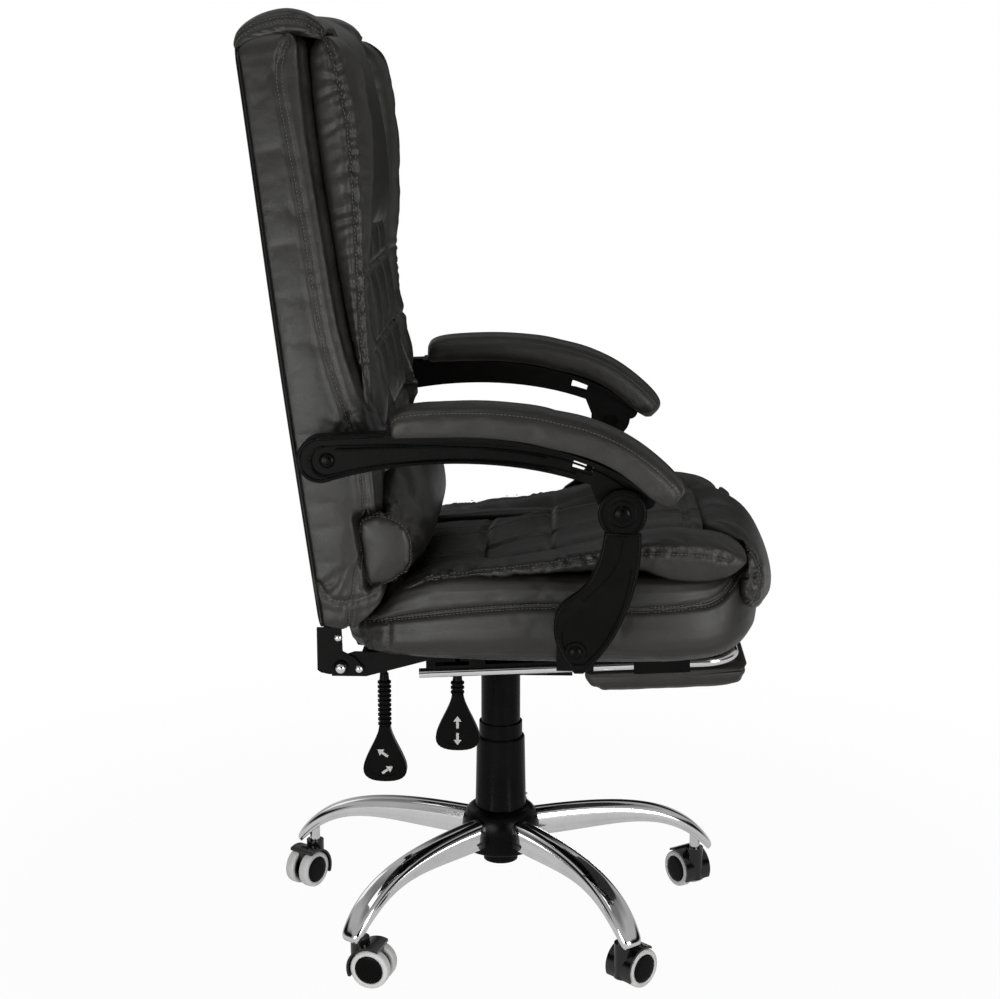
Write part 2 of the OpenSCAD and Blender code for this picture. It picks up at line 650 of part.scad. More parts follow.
// Guide blocks that carry the tubes, each with a rail that leads back under the seat
module footrest_guides() {
    reach = 500;
    color(black) for (s = [-1, 1]) difference() {
        along_tube() translate([0, s*tube_y, 0]) {
            translate([guide_x, -guide_w/2, -tube_d/2 - 3]) cube([guide_l, guide_w, 60]);
            translate([rail_x, -rail_w/2, tube_d/2 + seat_gap]) cube([guide_x - rail_x, rail_w, plate_t]);
            translate([rail_x + 42, -rail_w/2, tube_d/2 + seat_gap]) cube([20, rail_w, 30]);
        }
        translate([-reach, -reach, seat_z - seat_gap]) cube([2*reach, 2*reach, 100]);
        along_tube() translate([-10, s*tube_y, 0]) rotate([0, 90, 0])
            cylinder(d = tube_d + 2*fit, h = reach);
    }
}
pad_lead = 14;
pad_board_t = 8;
pad_edge = 8;
clip_y = 90;
clip_w = 24;
clip_base = 5;
// Top of the pad's board, measured down from the axis on which the pad turns over
pad_drop = tube_d/2 + 4.5;
module pad_place() {
    translate([pad_axis[0], 0, pad_axis[1]]) rotate([0, -tube_slope, 0]) children();
}
module footrest_board() {
    color("#b08a5a") pad_place() translate([pad_lead - pad_l/2, 0, -pad_drop - pad_board_t])
        linear_extrude(pad_board_t - seat_gap)
            polygon([for (w = border(8, 8))
                plan(w[0], w[1], pad_l/2 - pad_edge, pad_w/2 - pad_edge, 0.08)]);
}
module footrest_cushion() {
    h = pad_t - pad_board_t;
    insets = [5, 0, 1];
    heights = [0, 0.3, 0.7];
    color(leather) pad_place() translate([pad_lead - pad_l/2, 0, -pad_drop - pad_board_t - seat_gap])
        mirror([0, 0, 1]) cushion(8, 10, 3,
            function(u, v, k) let (p = plan(u, v, pad_l/2 - insets[k], pad_w/2 - insets[k], 0.08))
                [p[0], p[1], heights[k]*h],
            function(u, v) let (p = plan(u, v, pad_l/2 - 7, pad_w/2 - 7, 0.08))
                [p[0], p[1], h*(0.9 + 0.12*(1 - u*u)*(1 - v*v))]);
}
module footrest_clips() {
    color(black) pad_place() for (y = [-clip_y, clip_y]) translate([0, y, 0]) difference() {
        union() {
            along_y(tube_d + 7, clip_w);
            translate([-30, -clip_w/2, -pad_drop]) cube([36, clip_w, clip_base]);
        }
        along_y(tube_d + 2*fit, clip_w + 4);
    }
}

// Back, drawn upright with x forward and z up along its slope, then leaned on its rear foot
back_foot = [-210, seat_z + 35];
module leaned() {
    translate([back_foot[0], 0, back_foot[1]]) rotate([0, -back_lean, 0]) children();
}
panel_t = 8;
front_d = back_t;
// Half width of the back at a height: widest low down, narrower at the top
function back_half(h) = mix(back_w/2, back_top_w/2, rise((h/back_h - 0.35)/0.75));
// Border of the back cushion, as height and half width, with insets at the side, foot and top
function back_rim(u, v, in) = let (a = back_h/2,
    h = a + (u < 0 ? a - in[1] : a - in[2])*u*(1 - 0.05*pow(v, 6)))
    [h, v*(back_half(h) - in[0])*(1 - 0.1*pow(u, 6))];
back_pocket = [34, 40, 40];
back_levels = [[back_pocket, panel_t + 14], [back_pocket, panel_t], [[5, 5, 5], panel_t],
    [[0, 0, 0], panel_t + 8], [[1, 0, 0], 42], [[0, 8, 2], 58], [[10, 20, 8], front_d - 4]];

module back_panel() {
    color(leather) leaned() rotate([0, 90, 0]) linear_extrude(panel_t - seat_gap)
        polygon([for (w = border(20, 12)) let (p = back_rim(w[0], w[1], [6, 6, 6])) [-p[0], p[1]]]);
}
module back_board() {
    in = back_pocket + snug;
    color("#b08a5a") leaned() translate([panel_t, 0, 0]) rotate([0, 90, 0]) linear_extrude(14 - seat_gap)
        polygon([for (w = border(20, 12)) let (p = back_rim(w[0], w[1], in)) [-p[0], p[1]]]);
}
module back_cushion() {
    color(leather) leaned() cushion(20, 12, len(back_levels),
        function(u, v, k) let (p = back_rim(u, -v, back_levels[k][0])) [back_levels[k][1], p[1], p[0]],
        function(u, v) let (p = back_rim(u, -v, [22, 30, 16]))
            [front_d + 9*rise((58 - p[0])/20)*(1 - pow(v, 4)), p[1], p[0]]);
}
wing_in = 140;
wing_low = 196;
wing_high = back_h - 18;
// Forward thickness of a wing at a height
function wing_t(h) = mix(0.5, 1, rise((h - 380)/170))*wing_h*mix(0.35, 1, rise((h - wing_low)/60));
function wing_half(h) = (back_half(h) - 16 - wing_in)/2;
channel_rows = [228, 319, 410, 501];
function row_groove(h) = max([for (r = channel_rows) groove(h - r, seam_w)]);
module back_wings() {
    insets = [6, 0, 4];
    depths = [0, 0.4, 0.8];
    a = (wing_high - wing_low)/2;
    color(leather) for (s = [-1, 1]) leaned() cushion(20, 6, 3,
        function(u, v, k) let (q = plan(u, v, a - insets[k], 1, 0.03), h = q[0] + wing_low + a,
            half = wing_half(h) - insets[k])
            [front_d + seat_gap + depths[k]*wing_t(h), -s*(wing_in + wing_half(h) + s*q[1]*half), h],
        function(u, v) let (q = plan(u, v, a - 16, 1, 0.03), h = q[0] + wing_low + a,
            half = wing_half(h) - 11)
            [front_d + seat_gap + wing_t(h)*(0.94 + 0.12*(1 - v*v) - 0.1*row_groove(h)),
            -s*(wing_in + wing_half(h) + s*q[1]*half), h]);
}
centre_low = 190;
centre_high = 478;
centre_pitch = 92;
module back_centre_pad() {
    insets = [3, 0, 2];
    depths = [0, 0.4, 0.75];
    a = (centre_high - centre_low)/2;
    t = 30;
    color(leather) leaned() cushion(16, 12, 3,
        function(u, v, k) let (p = plan(u, -v, a - insets[k], wing_in - 2 - insets[k], 0.03))
            [front_d + seat_gap + depths[k]*t, p[1], centre_low + a + p[0]],
        function(u, v) let (p = plan(u, -v, a - 7, wing_in - 8, 0.03), h = centre_low + a + p[0])
            let (sewn = max(row_groove(h), groove(off_line(p[1], centre_pitch), seam_w)))
                [front_d + seat_gap + t*(1 + 0.1*(1 - u*u)*(1 - v*v) - 0.25*sewn), p[1], h]);
}
cap_half = back_top_w/2 - 5;
pillow_half = wing_in - 4;
pillow_edge = 20;
// Stations from the middle of the head pillow outward, as shares of the cap's half width
cap_stations = concat([for (k = [0:0.25:1]) k*(pillow_half - pillow_edge)/cap_half],
    [for (k = [0:0.2:1]) mix(pillow_half/cap_half, 1, sin(90*k))]);
cap_count = len(cap_stations) - 1;
cap_lap = 14;
module head_pillow() {
    x0 = front_d + seat_gap;
    z0 = back_h + seat_gap;
    stations = concat([for (k = [cap_count:-1:1]) cap_stations[k]], [for (v = cap_stations) -v]);
    color(leather) leaned() skin([for (v = stations) let (y = v*cap_half,
        full = sqrt(1 - 0.9*pow(abs(v), 5)),
        inner = 1 - rise((abs(y) - pillow_half + pillow_edge)/pillow_edge),
        drop = mix(cap_lap, back_h - centre_high - 2, inner), deep = mix(36, wing_h - 19, inner)*full,
        high = cap_h*full)
        [for (p = concat([[0, 0]],
            curve([[-x0 + 5, 0], [-x0 + 2, high*0.75], [-x0*0.35, high*1.1], [4, high*0.86]], 6),
            curve([[4, high*0.86], [deep*0.72, high*0.3], [deep*0.98, -drop*0.12],
                [deep, -drop*0.34]], 6, 1),
            curve([[deep, -drop*0.34], [deep*0.98, -drop*0.78], [deep*0.6, -drop], [0, -drop]], 5, 1)))
            [x0 + p[0], y, z0 + p[1]]]]);
}
lumbar_low = 64;
lumbar_high = 180;
lumbar_half = 218;
module lumbar_pillow() {
    mid = (lumbar_low + lumbar_high)/2;
    r = (lumbar_high - lumbar_low)/2;
    color(leather) leaned() skin([for (v = across(14)) let (y = -v*lumbar_half,
        s = 1 - 0.22*pow(abs(v), 14), t = lumbar_t*s*(1 - 0.12*pow(v, 2)))
        [for (a = [-90:15:90]) [front_d + seat_gap + t*pow(cos(a), 0.8), y, mid + r*s*sin(a)]]]);
}
foot_z = back_foot[1] - 4;
torque_bar = [-203, seat_z + 3];
torque_d = 12;
fork_t = 5;
fork_gap = 6 + seat_gap;
foot_plate_y = 150;
// Side plates that hold the back, a bar that joins them, and the fork that works the strut
module back_brackets() {
    strut_end = [hinge[0], hinge[1] - crank_drop];
    outer_y = hinge_y + seat_gap;
    color(black) {
        for (s = [0, 1]) mirror([0, s, 0]) {
            difference() {
                plate(outer_y, bracket_t) polygon(concat([[-216, foot_z]],
                    [for (q = curve([[-29, -4], [-27, -12], [19, -12], [24, -4]], 6)) hinge + q],
                    [for (q = [[24, 3], [16, 12], [2, 19], [1, foot_z - hinge[1]]]) hinge + q]));
                translate([hinge[0], outer_y, hinge[1]]) along_y(pin_d + 2*fit, 3*bracket_t);
            }
            leaned() translate([2, foot_plate_y, -seat_gap - plate_t])
                cube([22, outer_y + bracket_t - foot_plate_y, plate_t]);
        }
        for (y = [strut_y - fork_gap - fork_t, strut_y + fork_gap]) plate(y, fork_t) polygon([
            torque_bar + [-6, 0], strut_end + [-9, 0], strut_end + [-6, -7], strut_end + [6, -7],
            strut_end + [9, 0], torque_bar + [6, 0]]);
        translate([torque_bar[0], 0, torque_bar[1]]) along_y(torque_d, 2*outer_y + 2);
        translate([strut_end[0], strut_y, strut_end[1]]) along_y(pin_d, 2*fork_gap + 4);
    }
}
rear_bolt_d = 8;
drift = 5.2;
boss_d = 34;
// Place of the armrest's rear pivot in the leaned back
rear_in_back = let (q = rear_pivot - back_foot)
    [q[0]*cos(back_lean) + q[1]*sin(back_lean), q[1]*cos(back_lean) - q[0]*sin(back_lean)];
boss_in_y = back_half(rear_in_back[1]) + seat_gap;
boss_out_y = arm_y - arm_t - seat_gap;
// Spacers between the back and the armrests, with room for the rear bolt to drift
module arm_bosses() {
    l = boss_out_y - boss_in_y;
    color(black) for (s = [0, 1]) mirror([0, s, 0])
        translate([rear_pivot[0], boss_out_y, rear_pivot[1]]) rotate([90, 0, 0]) difference() {
            cylinder(d = boss_d, h = l);
            translate([0, 0, -1]) cylinder(d = rear_bolt_d + 2*drift, h = l + 2);
        }
}

// Armrest: a band along a centre line, with a padded top and a lug for the pivot
arm_line = [rear_pivot + [-8, 1], rear_pivot + [98, 21], upper_pivot + [-79, 86], upper_pivot + [27, 14]];
function arm_half(t) = 27*pow(1 - t, 3) + 3*13*t*pow(1 - t, 2) + 3*18*t*t*(1 - t) + 11*t*t*t;
// Outline of a band: a centre curve widened by half(t), drawn in by an inset
function band(line, half, inset, n) = let (
    c = [for (i = [0:n]) bez(line, i/n)],
    d = [for (i = [0:n]) unit(turned(c[min(n, i + 1)] - c[max(0, i - 1)]))])
    concat([for (i = [0:n]) c[i] + d[i]*(half(i/n) - inset)],
        [for (i = [n:-1:0]) c[i] - d[i]*(half(i/n) - inset)]);
pad_from = 0.22;
groove_depth = 3;
slot_l = 24;
slot_h = 12;
lobe_rim = 11;
line_w = 2.4;
// Fine line that runs along the frame under the pad
frame_line = [rear_pivot + [12, 18], rear_pivot + [128, 21], upper_pivot + [-61, 98], upper_pivot + [29, 16]];
module arm_frame(s) {
    inner = arm_y - arm_t;
    half = function(t) arm_half(t);
    color(black) mirror([0, s < 0 ? 1 : 0, 0]) difference() {
        union() {
            plate(inner, arm_t) polygon(band(arm_line, half, 0, 24));
            for (p = [[arm_line[0], arm_half(0)], [arm_line[3], arm_half(1)], [upper_pivot, 24]])
                translate([p[0][0], arm_y, p[0][1]]) rotate([90, 0, 0]) cylinder(r = p[1], h = arm_t);
            plate(inner, arm_t)
                polygon([upper_pivot + [-41, 42], upper_pivot - [24, 0], upper_pivot + [22, 0],
                    upper_pivot + [27, 24]]);
            plate(arm_y - arm_t/2 - 25, 50) polygon(pad_seat(0, 5));
        }
        plate(arm_y - groove_depth, 5) polygon(band([arm_line[0] + [6, -2], arm_line[1] - [10, 9],
            arm_line[2] - [50, 13], upper_pivot + [-53, 47]], function(t) half(t*0.75) - lobe_rim, 0, 16));
        plate(arm_y - line_w/2, 5) polygon(band(frame_line, function(t) line_w/2, 0, 24));
        translate([arm_line[0][0] + 6, arm_y - groove_depth, arm_line[0][1] - 2]) rotate([-90, 0, 0])
            cylinder(r = arm_half(0) - lobe_rim, h = 4);
        translate([upper_pivot[0] - 47, inner - 1, upper_pivot[1] + 45]) rotate([0, 16, 0])
            translate([-slot_l/2, 0, 0]) cube([slot_l, arm_t + 2, slot_h]);
        translate([upper_pivot[0], inner - 1, upper_pivot[1]]) rotate([-90, 0, 0])
            cylinder(d = pin_d + 2*fit, h = arm_t + 2);
        translate([rear_pivot[0], inner - 1, rear_pivot[1]]) rotate([-90, 0, 0])
            cylinder(d = rear_bolt_d + 2*fit, h = arm_t + 2);
    }
}
// Centre line of the band under the pad, with the direction across it
pad_steps = 20;
function pad_t_at(i, n) = mix(pad_from, 1, i/n);
function pad_across(t) = unit(turned(bez(arm_line, min(1, t + 0.02)) - bez(arm_line, t - 0.02)));
// Strip along the top of the band between two offsets from its edge
function pad_seat(lo, hi) = let (
    edge = function(off) [for (i = [0:pad_steps]) let (t = pad_t_at(i, pad_steps))
        bez(arm_line, t) + pad_across(t)*(arm_half(t) - off)],
    outer = edge(lo), inner = edge(hi))
    concat(outer, [for (i = [pad_steps:-1:0]) inner[i]]);
// Section of the armrest pad, as shares of its half width and its height
pad_section = [[-0.85, 0], [-1, 0.18], [-1, 0.5], [-0.9, 0.78], [-0.6, 0.95], [0, 1], [0.6, 0.95],
    [0.9, 0.78], [1, 0.5], [1, 0.18], [0.85, 0]];
module arm_pad(s) {
    n = 18;
    y = arm_y - arm_t/2;
    color(leather) mirror([0, s < 0 ? 1 : 0, 0]) skin([for (i = [0:n]) let (e = 2*i/n - 1,
        t = pad_t_at(i, n), w = arm_pad_w/2*(1 - 0.35*pow(abs(e), 10)),
        h = arm_pad_h*(1 - 0.35*pow(abs(e), 8)))
        [for (q = pad_section) let (p = bez(arm_line, t) + pad_across(t)*(arm_half(t) + seat_gap + q[1]*h))
            [p[0], y + q[0]*w, p[1]]]]);
}
module arm_bolts(s) {
    rear_l = arm_t - groove_depth + seat_gap + 18;
    head_t = 4;
    color(black) mirror([0, s < 0 ? 1 : 0, 0]) {
        translate([rear_pivot[0], arm_y - groove_depth + seat_gap, rear_pivot[1]]) rotate([-90, 0, 0]) {
            translate([0, 0, -rear_l]) cylinder(d = rear_bolt_d, h = rear_l);
            dome(9, head_t);
        }
        translate([upper_pivot[0], arm_y, upper_pivot[1]]) rotate([-90, 0, 0]) {
            translate([0, 0, -arm_t - 3]) cylinder(d = pin_d, h = arm_t + support_t + 3 + 2*seat_gap);
            translate([0, 0, -arm_t - head_t - seat_gap]) cylinder(d = 18, h = head_t);
            translate([0, 0, support_t + 2*seat_gap]) dome(10, 4);
        }
    }
}
// Edges of the support: the front one down to the tip, the rear one up round the leaf, and the neck
support_front = [upper_pivot + [22, -24], upper_pivot + [25, -78], lower_pivot + [55, 14],
    lower_pivot + [9, -25]];
support_rear = [lower_pivot + [-1, -25], lower_pivot + [-31, 8], lower_pivot + [-35, 50],
    lower_pivot + [-5, 66]];
support_neck = [lower_pivot + [-5, 66], lower_pivot + [19, 80], upper_pivot + [-23, -52],
    upper_pivot + [-20, -22]];
// Edges of the sunk leaf in its lower half, and the fine line above it
leaf_front = [upper_pivot + [12, -62], upper_pivot + [10, -98], lower_pivot + [44, 14],
    lower_pivot + [10, -15]];
leaf_rear = [lower_pivot + [-2, -15], lower_pivot + [-19, 6], lower_pivot + [-22, 30],
    lower_pivot + [-6, 43]];
leaf_top = [lower_pivot + [-6, 43], lower_pivot + [22, 66], upper_pivot + [-6, -86],
    upper_pivot + [12, -62]];
neck_line = [upper_pivot + [1, -29], upper_pivot + [-1, -62], lower_pivot + [36, 88], lower_pivot + [8, 62]];
leaf_boss_r = 12;
module support(s) {
    outer_y = support_y + support_t;
    color(black) mirror([0, s < 0 ? 1 : 0, 0]) difference() {
        union() {
            plate(support_y, support_t) polygon(concat(curve(support_front, 12), curve(support_rear, 10),
                curve(support_neck, 8, 1)));
            translate([upper_pivot[0], support_y, upper_pivot[1]]) rotate([-90, 0, 0])
                cylinder(r = pivot_disc_r, h = support_t);
        }
        difference() {
            plate(outer_y - groove_depth, 5) polygon(concat(curve(leaf_front, 12), curve(leaf_rear, 8),
                curve(leaf_top, 8, 1)));
            translate([lower_pivot[0], support_y, lower_pivot[1]]) rotate([-90, 0, 0])
                cylinder(r = leaf_boss_r, h = support_t + 10);
        }
        plate(outer_y - line_w/2, 5) polygon(band(neck_line, function(t) line_w/2, 0, 12));
        translate([upper_pivot[0], outer_y - line_w/2, upper_pivot[1]]) rotate([-90, 0, 0])
            ring(2*pivot_disc_r - 8, 2*pivot_disc_r - 8 - 2*line_w, 5);
        for (p = [upper_pivot, lower_pivot]) translate([p[0], support_y - 1, p[1]]) rotate([-90, 0, 0])
            cylinder(d = pin_d + 2*fit, h = support_t + 2);
    }
}
module arm_frame_left() { arm_frame(1); }
module arm_frame_right() { arm_frame(-1); }
module arm_pad_left() { arm_pad(1); }
module arm_pad_right() { arm_pad(-1); }
module arm_bolts_left() { arm_bolts(1); }
module arm_bolts_right() { arm_bolts(-1); }
module support_left() { support(1); }
module support_right() { support(-1); }

// Casters: a hooded housing on a stem, and two wheels pressed on one axle
trail_turn = [125, 80, 236, -15, 45];
wheel_r = wheel_d/2;
web_t = 9;
hood_in = wheel_r + 1.5;
hood_out = wheel_r + 4.5;
hood_w = web_t + 2*wheel_w + 3;
function leg_angle(i) = leg_turn + (i - 1)*360/LEGS;
module at_caster(i) {
    translate([stem_r*cos(leg_angle(i)), stem_r*sin(leg_angle(i)), 0])
        rotate([0, 0, trail_turn[i - 1]]) children();
}
module caster_housing(i) {
    color(black) at_caster(i) difference() {
        union() {
            intersection() {
                translate([caster_trail, 0, wheel_r]) along_y(2*hood_out, hood_w);
                translate([-60, -60, 14]) cube([60 + caster_trail + 12, 120, 80]);
            }
            cylinder(d = 24, h = boss_top_z);
        }
        for (s = [-1, 1]) translate([caster_trail, s*(web_t/2 + 20), wheel_r]) along_y(2*hood_in, 40);
        translate([-60, -60, -20]) cube([120, 120, 34]);
        translate([caster_trail, 0, wheel_r]) along_y(axle_d + 2*fit, 60);
    }
    color(chrome) at_caster(i) translate([0, 0, boss_top_z - 6]) cylinder(d = stem_d, h = 6 + 17);
}
module caster_wheels(i) {
    cap_r = wheel_r*0.7;
    rim_r = wheel_r - 5;
    color(black) at_caster(i) translate([caster_trail, 0, wheel_r]) {
        along_y(axle_d, web_t + 2*wheel_w - 4);
        for (s = [-1, 1]) rotate([-90*s, 0, 0]) {
            translate([0, 0, web_t/2 + 0.5]) rotate_extrude() polygon(concat(
                [[axle_d/2, 0], [rim_r, 0], [rim_r, wheel_w - 2], [cap_r, wheel_w - 2]],
                curve([[cap_r - 1, wheel_w - 1], [cap_r*0.7, wheel_w + 0.6], [cap_r*0.4, wheel_w + 1],
                    [0, wheel_w + 1]], 5),
                [[0, wheel_w - 4], [axle_d/2, wheel_w - 4]]));
            translate([0, 0, web_t/2 + 0.5]) rotate_extrude() polygon(concat(
                [[rim_r + 0.05, 0], [wheel_r - 2, 0]],
                [[wheel_r - 0.6, 1], [wheel_r, 3], [wheel_r, wheel_w - 3], [wheel_r - 0.6, wheel_w - 1]],
                [[wheel_r - 2, wheel_w], [rim_r + 0.05, wheel_w]]));
        }
    }
}

base_frame();
stem_sockets();
hub_cover();
column_tube();
piston_rod();
cover_lower();
cover_middle();
lift_cylinder();
cover_upper();
lift_button();
mechanism();
seat_board();
seat_cushion();
seat_centre_pad();
seat_bolsters();
seat_front_roll();
seat_bolts();
hinge_brackets();
pivot_bolts();
footrest_guides();
arm_brackets();
strut_cylinder();
strut_rod();
lift_lever_rod();
lift_lever_sleeve();
lift_lever_paddle();
recline_lever_rod();
recline_lever_sleeve();
recline_lever_paddle();
footrest_tube();
footrest_board();
footrest_cushion();
footrest_clips();
back_panel();
back_board();
back_cushion();
back_wings();
back_centre_pad();
head_pillow();
lumbar_pillow();
back_brackets();
arm_bosses();
arm_frame_left();
arm_frame_right();
arm_pad_left();
arm_pad_right();
arm_bolts_left();
arm_bolts_right();
support_left();
support_right();
caster_housing(1);  // caster_housing_1
caster_housing(2);  // caster_housing_2
caster_housing(3);  // caster_housing_3
caster_housing(4);  // caster_housing_4
caster_housing(5);  // caster_housing_5
caster_wheels(1);  // caster_wheels_1
caster_wheels(2);  // caster_wheels_2
caster_wheels(3);  // caster_wheels_3
caster_wheels(4);  // caster_wheels_4
caster_wheels(5);  // caster_wheels_5
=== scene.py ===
import bpy
import math
import numpy as np
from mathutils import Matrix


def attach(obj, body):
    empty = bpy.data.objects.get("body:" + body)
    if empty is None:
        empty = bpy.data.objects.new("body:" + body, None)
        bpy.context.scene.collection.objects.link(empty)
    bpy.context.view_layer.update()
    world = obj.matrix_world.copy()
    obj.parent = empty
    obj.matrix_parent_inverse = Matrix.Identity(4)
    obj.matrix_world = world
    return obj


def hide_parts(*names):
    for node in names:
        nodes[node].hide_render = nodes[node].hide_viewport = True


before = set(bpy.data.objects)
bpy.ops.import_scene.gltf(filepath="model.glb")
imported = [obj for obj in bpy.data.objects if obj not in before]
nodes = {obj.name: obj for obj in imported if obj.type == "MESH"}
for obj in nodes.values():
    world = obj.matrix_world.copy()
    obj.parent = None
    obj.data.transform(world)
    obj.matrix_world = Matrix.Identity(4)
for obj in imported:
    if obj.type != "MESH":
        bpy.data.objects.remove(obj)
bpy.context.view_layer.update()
mm = 0.001

# camera fitted to the five legs; the picture is taken as 1000 x 999
cameraSettings = {"place": (0.084, -2.484, 1.114), "turn": (77.69, 0.0, 1.96), "lens": 70.24}
cameraData = bpy.data.cameras.new("camera")
cameraData.lens = cameraSettings["lens"]
cameraData.sensor_width = 36
camera = bpy.data.objects.new("camera", cameraData)
camera.location = cameraSettings["place"]
camera.rotation_euler = [math.radians(a) for a in cameraSettings["turn"]]
bpy.context.scene.collection.objects.link(camera)
bpy.context.scene.camera = camera
bpy.context.scene.view_settings.view_transform = "Standard"


# a socket that can be added, taken away and multiplied; each step makes one Math node
class Wire:
    def __init__(self, paint, socket):
        self.paint = paint
        self.socket = socket

    def maths(self, how, first, second):
        return self.paint.node("Math", {"operation": how}, {0: first, 1: second})

    def beside(self, name):
        return Wire(self.paint, self.socket.node.outputs[name])

    def __add__(self, other): return self.maths("ADD", self, other)
    def __radd__(self, other): return self.maths("ADD", other, self)
    def __sub__(self, other): return self.maths("SUBTRACT", self, other)
    def __rsub__(self, other): return self.maths("SUBTRACT", other, self)
    def __mul__(self, other): return self.maths("MULTIPLY", self, other)
    def __rmul__(self, other): return self.maths("MULTIPLY", other, self)


# the nodes of one material, or of the world: node() makes any node from its kind, its settings and
# what its sockets get
class Paint:
    def __init__(self, name, world=False):
        self.owner = (bpy.data.worlds if world else bpy.data.materials).new(name)
        self.owner.use_nodes = True
        self.tree = self.owner.node_tree
        self.tree.nodes.clear()
        self.output = self.tree.nodes.new("ShaderNodeOutput" + ("World" if world else "Material"))
        self.place = None if world else self.node("TexCoord", out="Object")

    def node(self, kind, settings=None, sockets=None, out=0):
        made = self.tree.nodes.new("ShaderNode" + kind)
        for key, value in (settings or {}).items():
            setattr(made, key, value)
        for key, value in (sockets or {}).items():
            if isinstance(value, Wire):
                self.tree.links.new(value.socket, made.inputs[key])
            else:
                made.inputs[key].default_value = value
        return Wire(self, made.outputs[out])

    def noise(self, scale, detail=2.0, rough=0.5, place=None):
        return self.node("TexNoise", None, {"Vector": place or self.place, "Scale": scale,
                                            "Detail": detail, "Roughness": rough})

    def stretched(self, scale):
        return self.node("Mapping", None, {"Vector": self.place, "Scale": scale})

    def ramp(self, value, low, high, toLow=0.0, toHigh=1.0):
        return self.node("MapRange", {"clamp": True}, {"Value": value, "From Min": low, "From Max": high,
                                                        "To Min": toLow, "To Max": toHigh})

    def blend(self, factor, first, second):
        first, second = [c if isinstance(c, Wire) else rgba(*c) for c in (first, second)]
        return self.node("Mix", {"data_type": "RGBA"}, {"Factor": factor, 6: first, 7: second}, out=2)

    def bump(self, height, strength, distance, before=None):
        sockets = {"Height": height, "Strength": strength, "Distance": distance}
        if before:
            sockets["Normal"] = before
        return self.node("Bump", None, sockets)

    def end(self, shader):
        self.tree.links.new(shader.socket, self.output.inputs["Surface"])
        return self.owner

    def finish(self, colour, roughness, normal, more=None):
        return self.end(self.node("BsdfPrincipled", None, {"Base Color": colour, "Roughness": roughness,
                                                           "Normal": normal, **(more or {})}))


# opaque colour
def rgba(r, g, b):
    return (r, g, b, 1.0)


leatherLook = {"pale": (0.019, 0.0173, 0.0148), "deep": (0.0095, 0.0084, 0.007), "roughness": 0.37,
               "grain": 760.0, "grainDepth": 0.00012, "shine": 0.55, "pits": (0.008, 0.0075, 0.007)}
backingLook = dict(leatherLook, pale=(0.008, 0.0076, 0.0072), deep=(0.004, 0.0038, 0.0036), shine=0.2)


# leather: fine cells with soft edges as grain, broad clouds of tone, and slack shallow creases
def leatherPaint(name, look):
    paint = Paint(name)
    cells = paint.node("TexVoronoi", {"feature": "DISTANCE_TO_EDGE"},
                       {"Vector": paint.place, "Scale": look["grain"]})
    grain = paint.ramp(cells, 0.0, 0.16)
    clouds = paint.noise(9.0, 4.0, 0.6)
    worn = paint.noise(60.0, 5.0, 0.7)
    soft = paint.noise(34.0, 3.0, 0.55)
    tone = paint.ramp(clouds * 0.7 + worn * 0.3, 0.36, 0.64)
    colour = paint.blend(tone, look["deep"], look["pale"])
    colour = paint.blend((1.0 - grain) * 0.35, colour, look["pits"])
    roughness = look["roughness"] + (worn - 0.5) * 0.16 + (1.0 - grain) * 0.08
    normal = paint.bump(grain, 0.55, look["grainDepth"], paint.bump(soft, 0.16, 0.004))
    return paint.finish(colour, roughness, normal, {"Specular IOR Level": look["shine"]})


# chrome: bright metal with faint smudges and long shallow ripples
def chromePaint(name):
    paint = Paint(name)
    smudge = paint.ramp(paint.noise(26.0, 5.0, 0.65), 0.35, 0.75)
    colour = paint.blend(smudge, (0.86, 0.86, 0.87), (0.76, 0.76, 0.77))
    ripple = paint.bump(paint.noise(14.0, 1.0, 0.4), 0.06, 0.002)
    return paint.finish(colour, 0.045 + smudge * 0.06, ripple, {"Metallic": 1.0})


# steel: brushed grey metal with fine streaks along z
def steelPaint(name):
    paint = Paint(name)
    streak = paint.noise(1.0, 3.0, 0.6, paint.stretched((900.0, 900.0, 30.0)))
    colour = paint.blend(streak, (0.33, 0.33, 0.34), (0.52, 0.52, 0.53))
    return paint.finish(colour, 0.28 + streak * 0.2, paint.bump(streak, 0.2, 0.0001), {"Metallic": 1.0})


blackLooks = {
    "grainedPlastic": {"tone": (0.0024, 0.0022, 0.0019), "roughness": 0.4, "grain": 1500.0,
                       "depth": 0.00025, "shine": 0.08, "coat": 0.0},
    "smoothPlastic": {"tone": (0.0016, 0.0014, 0.0013), "roughness": 0.27, "grain": 500.0,
                      "depth": 0.00003, "shine": 0.09, "coat": 0.0},
    "glossPlastic": {"tone": (0.004, 0.0039, 0.0037), "roughness": 0.16, "grain": 300.0,
                     "depth": 0.00002, "shine": 0.4, "coat": 0.3},
    "coatedSteel": {"tone": (0.0024, 0.0022, 0.002), "roughness": 0.42, "grain": 1100.0,
                    "depth": 0.0001, "shine": 0.1, "coat": 0.0}}


# black plastic or coated metal: spark-eroded grain, rubbed paler here and there
def blackPaint(name, tone, roughness, grain, depth, shine, coat):
    paint = Paint(name)
    pits = paint.noise(grain, 2.0, 0.6)
    rub = paint.ramp(paint.noise(22.0, 4.0, 0.6), 0.45, 0.8)
    colour = paint.blend(rub, tone, [c * 1.5 + 0.002 for c in tone])
    roughness = roughness + (pits - 0.5) * 0.2 + rub * 0.06
    return paint.finish(colour, roughness, paint.bump(pits, 0.6, depth),
                        {"Coat Weight": coat, "Specular IOR Level": shine})


